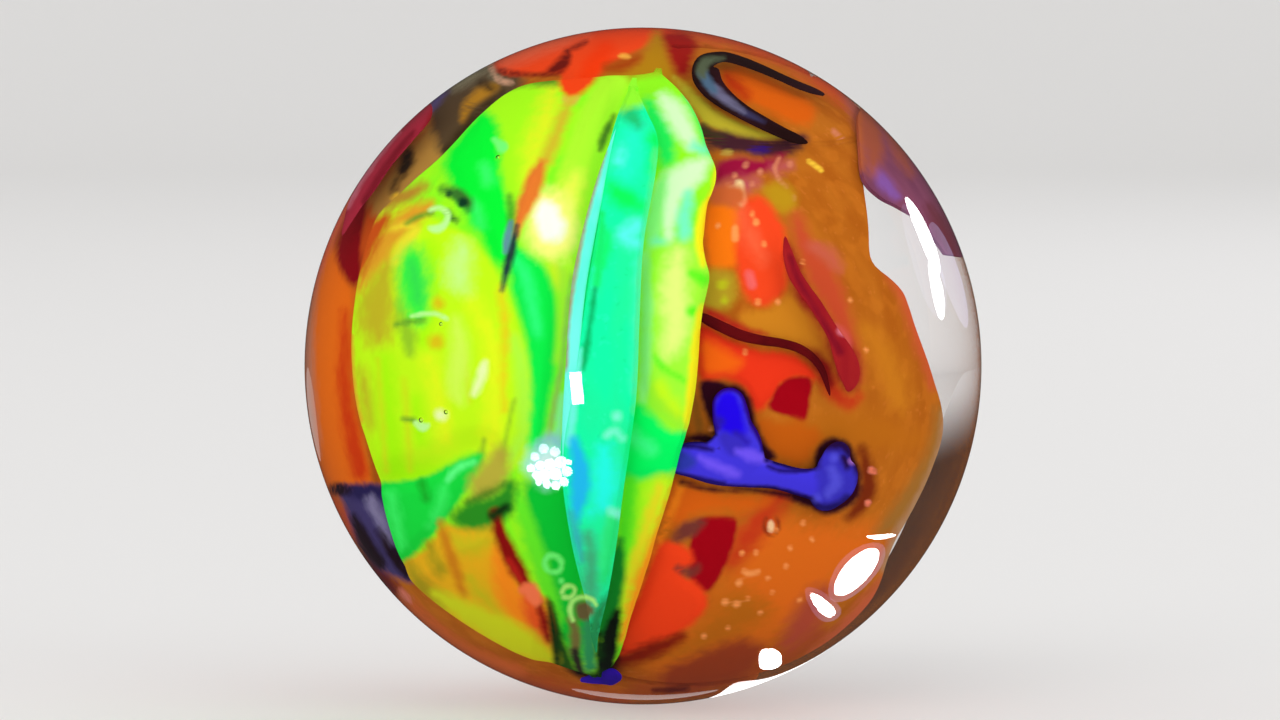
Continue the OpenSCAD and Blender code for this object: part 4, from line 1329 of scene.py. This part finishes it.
def rolled(line, across, down, radius):
    """Places of a grid's points on ovals along a line of the paper."""
    along = unit(np.gradient(line[:, :2], axis=0))
    side = np.column_stack([-along[:, 1], along[:, 0]]) * line[:, 2:] / 2
    left = through(line[:, :2] + side, radius)
    right = through(line[:, :2] - side, radius)
    middle, half = (left + right) / 2, (right - left) / 2
    flatter = np.minimum(np.linalg.norm(half, axis=1, keepdims=True) / CANE_HEIGHT, 1)
    rise = unit(middle) * flatter * CANE_HEIGHT / 2
    half[[0, -1]] = 0
    rise[[0, -1]] = 0
    turn = 2 * math.pi * across[:, None]
    middle, half, rise = (place_on(values, down) for values in (middle, half, rise))
    return middle + half * np.cos(turn) + rise * np.sin(turn)


def pull_cane(name, streaks, radius):
    """One mesh of tapered rods along streaks."""
    rods = []
    for streak in streaks:
        rod, across, down = flat_grid(name, CANE_SIDES, len(streak.line) - 1)
        put_points(rod, rolled(streak.line, across, down, radius))
        rods.append(rod)
    cane = join(rods, name)
    bpy.ops.object.mode_set(mode="EDIT")
    bpy.ops.mesh.select_all(action="SELECT")
    bpy.ops.mesh.remove_doubles(threshold=CANE_SEAM)
    bpy.ops.mesh.normals_make_consistent(inside=False)
    bpy.ops.object.mode_set(mode="OBJECT")
    bpy.ops.object.shade_smooth()
    bpy.ops.object.select_all(action="DESELECT")
    print(name, "faces:", len(cane.data.polygons))
    return cane


def lay_cane(name, streaks, hues, paints, slot, *nodes):
    """Pulls a cane in the layer of its node, paints it and dresses it."""
    cane = pull_cane(name, streaks, middle_radius(slot))
    paint_piece(cane, paints)
    dress(cane, streaky_finish(name + "_glass", *hues, paints), slot, *nodes)


print("canes are as high as, mm:", CANE_HEIGHT / MM)


# %% The threads and streaks
MAROON = [
    Streak((694, 312, 3), (706, 319, 10), (722, 327, 11), (740, 335, 11), (760, 340, 10),
           (780, 343, 9), (798, 348, 9), (812, 357, 8), (822, 370, 7), (828, 388, 4),
           (830, 396, 1)),
]
CRIMSON = [
    Streak((785, 236, 2), (788, 254, 10), (794, 273, 13), (804, 289, 13), (815, 304, 13),
           (825, 320, 13), (834, 335, 14), (842, 351, 20), (848, 367, 23), (850, 381, 17),
           (848, 392, 3)),
    Streak((431, 104, 3), (424, 116, 15), (405, 136, 18), (384, 161, 18), (367, 186, 18),
           (356, 203, 14), (349, 218, 9), (342, 236, 1)),
]
CRIMSON_PAINTS = [
    ("vein_rose", (178, 40, 62), 3, [
        Streak((431, 104, 6), (405, 136, 22), (367, 186, 22), (342, 236, 8))]),
    ("vein_dark", (132, 16, 36), 3, [
        Streak((790, 256, 4), (798, 280, 5), (812, 303, 5), (826, 326, 5), (840, 352, 8)),
        Streak((414, 132, 6), (394, 156, 7), (376, 182, 7), (364, 202, 6))]),
    # Painted highlight: a pale pink streak along the outer side of the left cane; the dab is a
    # pale dot on the right vein.
    ("vein_highlight_and_dot", (228, 122, 140), 3.5, [
        *dabs(9, (842, 331)),
        Streak((398, 131, 4), (377, 154, 9), (359, 181, 9), (347, 206, 6))]),
]
CYAN = [
    Streak((626, 108, 1), (617, 132, 5), (604.5, 170, 9), (595, 206, 12), (587, 242, 14),
           (580, 278, 15), (576, 312, 14.5), (573.5, 350, 14), (570.5, 390, 13),
           (568, 430, 12), (568, 466, 10), (569, 496, 5), (571, 512, 1)),
]
CYAN_PAINTS = [
    ("mauve_edge", (168, 160, 116), 3, [Streak(
        (606, 150, 3), (598, 176, 4), (588, 210, 4), (579, 250, 5), (572, 290, 5), (567, 330, 5),
        (566, 370, 4))]),
]

lay_cane("maroon_vein", MAROON, [(78, 8, 14), (100, 12, 16)], [], "maroon_thread",
         "maroon_thread")
lay_cane("crimson_veins", CRIMSON, [(152, 20, 34), (170, 34, 36)], CRIMSON_PAINTS,
         "crimson_streaks", "crimson_streaks")
lay_cane("cyan_rim", CYAN, [(120, 255, 240), (84, 254, 220)], CYAN_PAINTS, "cyan_thread",
         "cyan_thread")

# %% [markdown]
# ## The dark curl and its slate core
#
# A dark cane bends back on itself near the top. Where it is widest, its middle opens into
# a grey-blue core, so the band is painted by its own depth: slate inside, black at the
# rims.

# %% Dark curl
CURL = [
    Streak((808, 143, 2), (797, 139, 9), (783, 133, 11), (765, 124, 13), (745, 113, 15),
           (727, 101, 19), (713, 88, 24), (706, 75, 28), (705, 65, 22), (712, 59, 14),
           (726, 57, 10), (744, 62, 9), (762, 69, 8), (780, 77, 7), (798, 85, 7),
           (814, 91, 6), (825, 95, 2)),
]
CURL_PAINTS = [
    ("slate_deep", (58, 54, 88), 3, [Streak((764, 122, 3), (754, 117, 5), (742, 111, 7))]),
    ("slate_violet", (110, 106, 136), 3.5, [
        Streak((744, 112, 3), (734, 105, 7), (723, 97, 9), (714, 89, 10))]),
    ("slate_blue", (78, 104, 130), 3.5, [Streak((715, 92, 6), (708, 83, 10), (703, 74, 10))]),
    ("slate_moss", (86, 96, 72), 3.5, [
        Streak((702, 76, 8), (702, 69, 11), (706, 62, 10), (714, 59, 6), (724, 58, 3))]),
]

lay_cane("dark_curl_band", CURL, [(34, 14, 14), (46, 18, 24)], CURL_PAINTS, "dark_curl",
         "dark_curl", "slate_core")

# %% [markdown]
# ## The cobalt scroll
#
# The scroll is blue glass that ran together from a bar, a stem and two round knobs, so
# it is built as such a blob is: drops are set side by side along each part, fused by a
# voxel remesh, smoothed and pressed flat against their layer.

# %% Cobalt scroll
SCROLL = [
    Streak((660, 460, 6), (676, 460, 26), (696, 460, 37), (720, 466, 39), (748, 471, 33),
           (776, 476, 26), (800, 482, 26), (820, 484, 33)),
    Streak((729, 405, 35), (731, 416, 38), (734, 430, 39), (739, 446, 46), (744, 460, 42)),
    Streak((704, 452, 12), (716, 444, 16), (726, 436, 18)),
    Streak((832, 486, 48), (838, 483, 46)),
    Streak((834, 468, 40), (836, 459, 34)),
]
DARK_RIM = (0, 0, 5)  # how much narrower the blue is than the glass it lies on
SCROLL_PAINTS = [
    ("blue", (68, 56, 228), 2.5, [
        Streak(*(stop - DARK_RIM for stop in part.line)) for part in SCROLL]),
    ("knob", (34, 6, 236), 6, [Streak((728, 402, 24), (728, 412, 30), (734, 426, 26))]),
    ("knob_edge", (46, 4, 132), 4, [
        Streak((718, 428, 5), (712, 414, 6), (712, 400, 7), (719, 391, 7), (730, 387, 8),
               (741, 391, 8), (747, 402, 8), (751, 416, 8), (756, 430, 7), (764, 444, 5))]),
    ("knob_deep", (44, 26, 176), 5, [*dabs(9, (720, 421)), Streak((736, 434, 8), (746, 442, 8))]),
    ("stem", (58, 46, 196), 5, [Streak((726, 438, 12), (734, 446, 20))]),
    ("violet_lit", (114, 86, 250), 5, [
        Streak((738, 452, 6), (752, 456, 12), (766, 460, 6)),
        Streak((700, 458, 5), (716, 466, 10), (736, 474, 8))]),
    ("left_slate", (48, 58, 178), 5, [Streak((668, 460, 12), (680, 461, 20), (690, 462, 12))]),
    ("end_body", (58, 50, 194), 6, [Patch(
        (816, 470), (822, 450), (834, 440), (848, 446), (856, 462), (862, 478), (858, 496),
        (842, 508), (822, 510), (818, 492))]),
    ("end_shade", (36, 12, 66), 5, [
        Streak((816, 466, 5), (818, 454, 7), (824, 446, 11), (834, 443, 14), (844, 446, 12),
               (851, 456, 8), (857, 468, 6), (860, 482, 6), (857, 496, 7), (848, 505, 7)),
        Streak((844, 458, 8), (847, 466, 6))]),
    ("end_low", (34, 24, 104), 4, [
        Streak((812, 500, 5), (822, 507, 7), (836, 506, 8), (848, 498, 7))]),
    ("end_mottle", (84, 80, 220), 5, [
        Streak((832, 470, 8), (836, 482, 12), (828, 494, 9)), *dabs(7, (834, 458), (818, 498))]),
    ("end_pearl", (160, 104, 190), 3, [*dabs(6, (852, 461))]),
    ("end_navy", (34, 18, 110), 3, [
        *dabs(6, (767, 460)), Streak((768, 466, 3), (778, 470, 5), (790, 471, 5), (806, 470, 4)),
        Streak((672, 446, 4), (694, 446, 6), (712, 450, 5)),
        Streak((672, 474, 4), (700, 479, 5), (724, 484, 4))]),
]
DROP_SPACING = 4  # points of the paper
DROP_DIVISIONS = 3
FUSE_VOXEL = 0.07 * MM
SOFTEN_FACTOR = 0.5
SOFTEN_TIMES = 6
FLATNESS = 0.35


def add_drop(x, y, width, radius):
    """A round drop of glass at a place of the paper."""
    ends = through([(x, y - width / 2), (x, y + width / 2)], radius)
    bpy.ops.mesh.primitive_ico_sphere_add(
        subdivisions=DROP_DIVISIONS, radius=np.linalg.norm(ends[1] - ends[0]) / 2,
        location=through([(x, y)], radius)[0])
    return bpy.context.object


def drops_along(line, radius):
    """Drops side by side along a line of (x, y, width)."""
    length = np.sum(np.linalg.norm(np.diff(line[:, :2], axis=0), axis=1))
    shares = np.linspace(0, 1, max(2, int(length / DROP_SPACING)))
    return [add_drop(*stop, radius) for stop in place_on(line, shares)]


def apply_modifier(piece, name, kind, **settings):
    """Adds a modifier, sets it and applies it."""
    modifier = piece.modifiers.new(name, kind)
    for key, value in settings.items():
        setattr(modifier, key, value)
    bpy.ops.object.modifier_apply(modifier=name)


def press(piece, radius):
    """Flattens a piece against a layer."""
    places = points_of(piece)
    depths = np.linalg.norm(places, axis=1, keepdims=True)
    put_points(piece, places / depths * (radius + (depths - radius) * FLATNESS))


def make_scroll():
    radius = middle_radius("cobalt_scroll")
    drops = [drop for part in SCROLL for drop in drops_along(part.line, radius)]
    scroll = join(drops, "cobalt_blob")
    bpy.ops.object.transform_apply(location=True, rotation=True, scale=True)
    apply_modifier(scroll, "fuse", "REMESH", mode="VOXEL", voxel_size=FUSE_VOXEL)
    apply_modifier(scroll, "soften", "SMOOTH", factor=SOFTEN_FACTOR, iterations=SOFTEN_TIMES)
    press(scroll, radius)
    bpy.ops.object.shade_smooth()
    bpy.ops.object.select_all(action="DESELECT")
    paint_piece(scroll, SCROLL_PAINTS)
    dress(scroll, streaky_finish("cobalt_glass", (26, 10, 72), (34, 12, 92), SCROLL_PAINTS),
          "cobalt_scroll", "cobalt_scroll")
    print("scroll faces:", len(scroll.data.polygons))


make_scroll()

# %% [markdown]
# ## The cobalt dot
#
# At the bottom pole, where the sheets were pinched off, a short blue cane ends the swirl.

# %% Cobalt dot at the bottom pole
DOT = [Streak((580, 680, 3), (592, 679, 9), (604, 677, 15), (614, 677, 16), (622, 678, 3))]

lay_cane("cobalt_bead", DOT, [(56, 20, 196), (40, 16, 150)], [], "cobalt_dot", "cobalt_dot")

# %% [markdown]
# ## Floor and air
#
# The ball rests on a pale sheet of paper that curves up behind it, as in a small product
# studio, so no horizon shows through the clear glass. Polished glass would mirror all of
# that paper as a grey haze over its colours. A studio holds it off with dark flags, and
# here the air is dark in a mirror. Seen through the glass it is pale at the level of the
# floor and fades to dark further up, as the flags over the ball would look.

# %% The pale sweep
FLOOR_HALF = 2.5
WALL_AWAY = 2.3
WALL_HEIGHT = 2
SWEEP_RADIUS = 1.1
SWEEP_STEPS = 24
NEARLY = 0.01
PAPER = (0.82, 0.81, 0.8, 1)


def select_edges(piece, chosen):
    """Goes into edit mode with just those edges selected whose two ends pass a test."""
    bpy.ops.object.mode_set(mode="EDIT")
    bpy.ops.mesh.select_mode(type="EDGE")
    bpy.ops.mesh.select_all(action="DESELECT")
    bpy.ops.object.mode_set(mode="OBJECT")
    for edge in piece.data.edges:
        edge.select = all(chosen(piece.data.vertices[i].co) for i in edge.vertices)
    bpy.ops.object.mode_set(mode="EDIT")


def make_floor():
    bpy.ops.mesh.primitive_plane_add(size=2 * FLOOR_HALF, location=(0, 0, -BALL_R))
    floor = bpy.context.object
    floor.name = "floor"
    bpy.ops.transform.translate(value=(0, WALL_AWAY - FLOOR_HALF, 0))
    bpy.ops.object.transform_apply(location=True)
    select_edges(floor, lambda end: end.y > WALL_AWAY - NEARLY)
    bpy.ops.mesh.extrude_region_move(TRANSFORM_OT_translate={"value": (0, 0, WALL_HEIGHT)})
    select_edges(floor, lambda end: end.y > WALL_AWAY - NEARLY and end.z < 0)
    bpy.ops.mesh.bevel(offset=SWEEP_RADIUS, segments=SWEEP_STEPS)
    bpy.ops.object.mode_set(mode="OBJECT")
    bpy.ops.object.shade_smooth()
    finish = new_finish("pale_paper")
    paper = finish.add("BsdfPrincipled", sockets={
        "Base Color": PAPER, "Roughness": 0.9, "Specular IOR Level": 0.1})
    floor.data.materials.append(finish.end(paper))
    floor.visible_glossy = False
    bpy.ops.object.select_all(action="DESELECT")
    print("floor faces:", len(floor.data.polygons))


make_floor()

# %% The air
AIR_LIGHT = 0.86
AIR_IN_MIRROR = 0.03
AIR_AT_HORIZON = 0.8  # seen through the glass
AIR_OVERHEAD = 0.03
OVERHEAD_FROM = 0.24  # how steeply up a ray runs where the air is at its darkest


def make_air():
    air = Finish(bpy.data.worlds.new("air"))
    way = air.add("SeparateXYZ", sockets={0: air.add("TexCoord", output="Generated")}, output="Z")
    through_glass = air.step(way, 0.0, OVERHEAD_FROM, AIR_AT_HORIZON, AIR_OVERHEAD)
    not_direct = air.choose(air.ray("Transmission"), AIR_IN_MIRROR, through_glass)
    strength = air.choose(air.ray("Glossy"), AIR_LIGHT, not_direct)
    background = air.add("Background", sockets={"Color": (1, 1, 1, 1), "Strength": strength})
    bpy.context.scene.world = air.end(background, "World")
    print("air, as light and in a mirror:", AIR_LIGHT, AIR_IN_MIRROR)


make_air()

# %% [markdown]
# ## Lamps
#
# Two large soft lamps in front light the ball. The bright marks on the polish come from
# small lamps round the room, and a cluster of them makes one sparkle. A mark sits where
# the ball mirrors its lamp, so each lamp is placed by the mark it should make: its
# middle, length, width and slant.

# %% Soft lamps, and small ones by the marks they make
LAMP_AWAY = 1.0
SOFT_LAMPS = [  # name, place, size, brightness
    ("key", (-0.6, -1.1, 0.9), 0.9, 1.7), ("fill", (0.9, -1.0, 0.5), 0.9, 0.9),
]
SPARKS = [  # x, y and width of the dots in the sparkle, first its three pale lobes
    (536, 456, 9), (545, 448, 10), (556, 451, 10), (532, 468, 8), (538, 475, 9),
    (541, 465, 9), (551, 464, 11), (562, 462, 12), (568, 471, 10), (546, 475, 12),
    (557, 474, 12), (565, 481, 9), (557, 485, 9), (540, 482, 7), (548, 484, 8), (570, 462, 6),
]
MARKS = [  # x, y, length, width, slant in degrees, brightness, round?
    (856, 571, 60, 25, -48, 30, True), (880, 536, 30, 5, -4, 24, True),
    (822, 605, 32, 13, 42, 30, True), (767, 656, 17, 16, 0, 12, True),
    (772, 656, 17, 16, 0, 12, True), (767, 661, 17, 16, 0, 12, True),
    (772, 661, 17, 16, 0, 12, True), (577, 388, 31, 11, 84, 60, False),
    (924, 236, 84, 13, 68, 9, True), (936, 290, 62, 12, 80, 7, True),
    (748, 686, 84, 7, -16, 2.2, True), (312, 412, 90, 7, 82, 0.25, True),
    (640, 697, 150, 5, 0, 0.5, True),
]
GLEAMS = [  # the same, for dim bluish windows
    (856, 571, 74, 36, -48, 0.9, True), (950, 272, 110, 20, 72, 0.6, True),
    (822, 605, 44, 24, 42, 0.7, True), (926, 262, 120, 28, 74, 0.5, True),
]
SPARK_SHINE = 24
PALE_SHINE = 12
PALE_SPARKS = 3
GLEAM_HUE = (0.6, 0.6, 1.0)
SPARK_HUE = (0.8, 1.0, 1.0)
SMALL_STEP = 0.2  # of a mark's half length, to measure how the ball shrinks it


def mirrored(points):
    """Directions in which the polished ball mirrors points of the paper."""
    place, way = at_surface(points)
    normal = unit(place)
    return unit(way - 2 * dots(way, normal) * normal)


def aim(place, along=(1, 0, 0.01)):
    """The turn of a lamp that looks at the ball, with its width along a direction."""
    back = unit(np.array(place, float))
    across = unit(np.array(along) - (np.array(along) @ back) * back)
    up = np.cross(back, across)
    return Matrix(np.column_stack([across, up, back]).tolist()).to_euler()


def add_lamp(name, place, turn, width, height, shine):
    """An area lamp whose surface has a given brightness."""
    bpy.ops.object.light_add(type="AREA", location=place, rotation=turn)
    lamp = bpy.context.object
    lamp.name = name
    lamp.data.shape = "RECTANGLE"
    lamp.data.size = width
    lamp.data.size_y = height
    lamp.data.energy = shine * math.pi * width * height
    lamp.visible_camera = False
    bpy.ops.object.select_all(action="DESELECT")
    return lamp


def add_mark(name, x, y, length, width, slant, shine, is_round):
    """A lamp that the ball mirrors as an oval or a bar at a place of the paper."""
    slant = math.radians(slant)
    along = np.array([math.cos(slant), math.sin(slant)])
    half = np.array([along * length / 2, np.array([-along[1], along[0]]) * width / 2])
    middle = mirrored([(x, y)])[0]
    spread = (mirrored((x, y) + SMALL_STEP * half) - middle) / SMALL_STEP
    axes, sizes, _ = np.linalg.svd(spread.T, full_matrices=False)
    place = LAMP_AWAY * middle
    lamp = add_lamp(name, place, aim(place, axes[:, 0]), *(2 * LAMP_AWAY * sizes), shine)
    if is_round:
        lamp.data.shape = "ELLIPSE"
    return lamp


def make_lamps():
    for name, place, size, shine in SOFT_LAMPS:
        add_lamp(name, place, aim(place), size, size, shine).visible_glossy = False
    for index, mark in enumerate(MARKS):
        add_mark("mark_%d" % index, *mark)
    for index, mark in enumerate(GLEAMS):
        add_mark("gleam_%d" % index, *mark).data.color = GLEAM_HUE
    for index, (x, y, wide) in enumerate(SPARKS):
        shine = PALE_SHINE if index < PALE_SPARKS else SPARK_SHINE
        add_mark("spark_%d" % index, x, y, wide, wide, 0, shine, True).data.color = SPARK_HUE


make_lamps()
bpy.context.scene.view_settings.view_transform = "Standard"
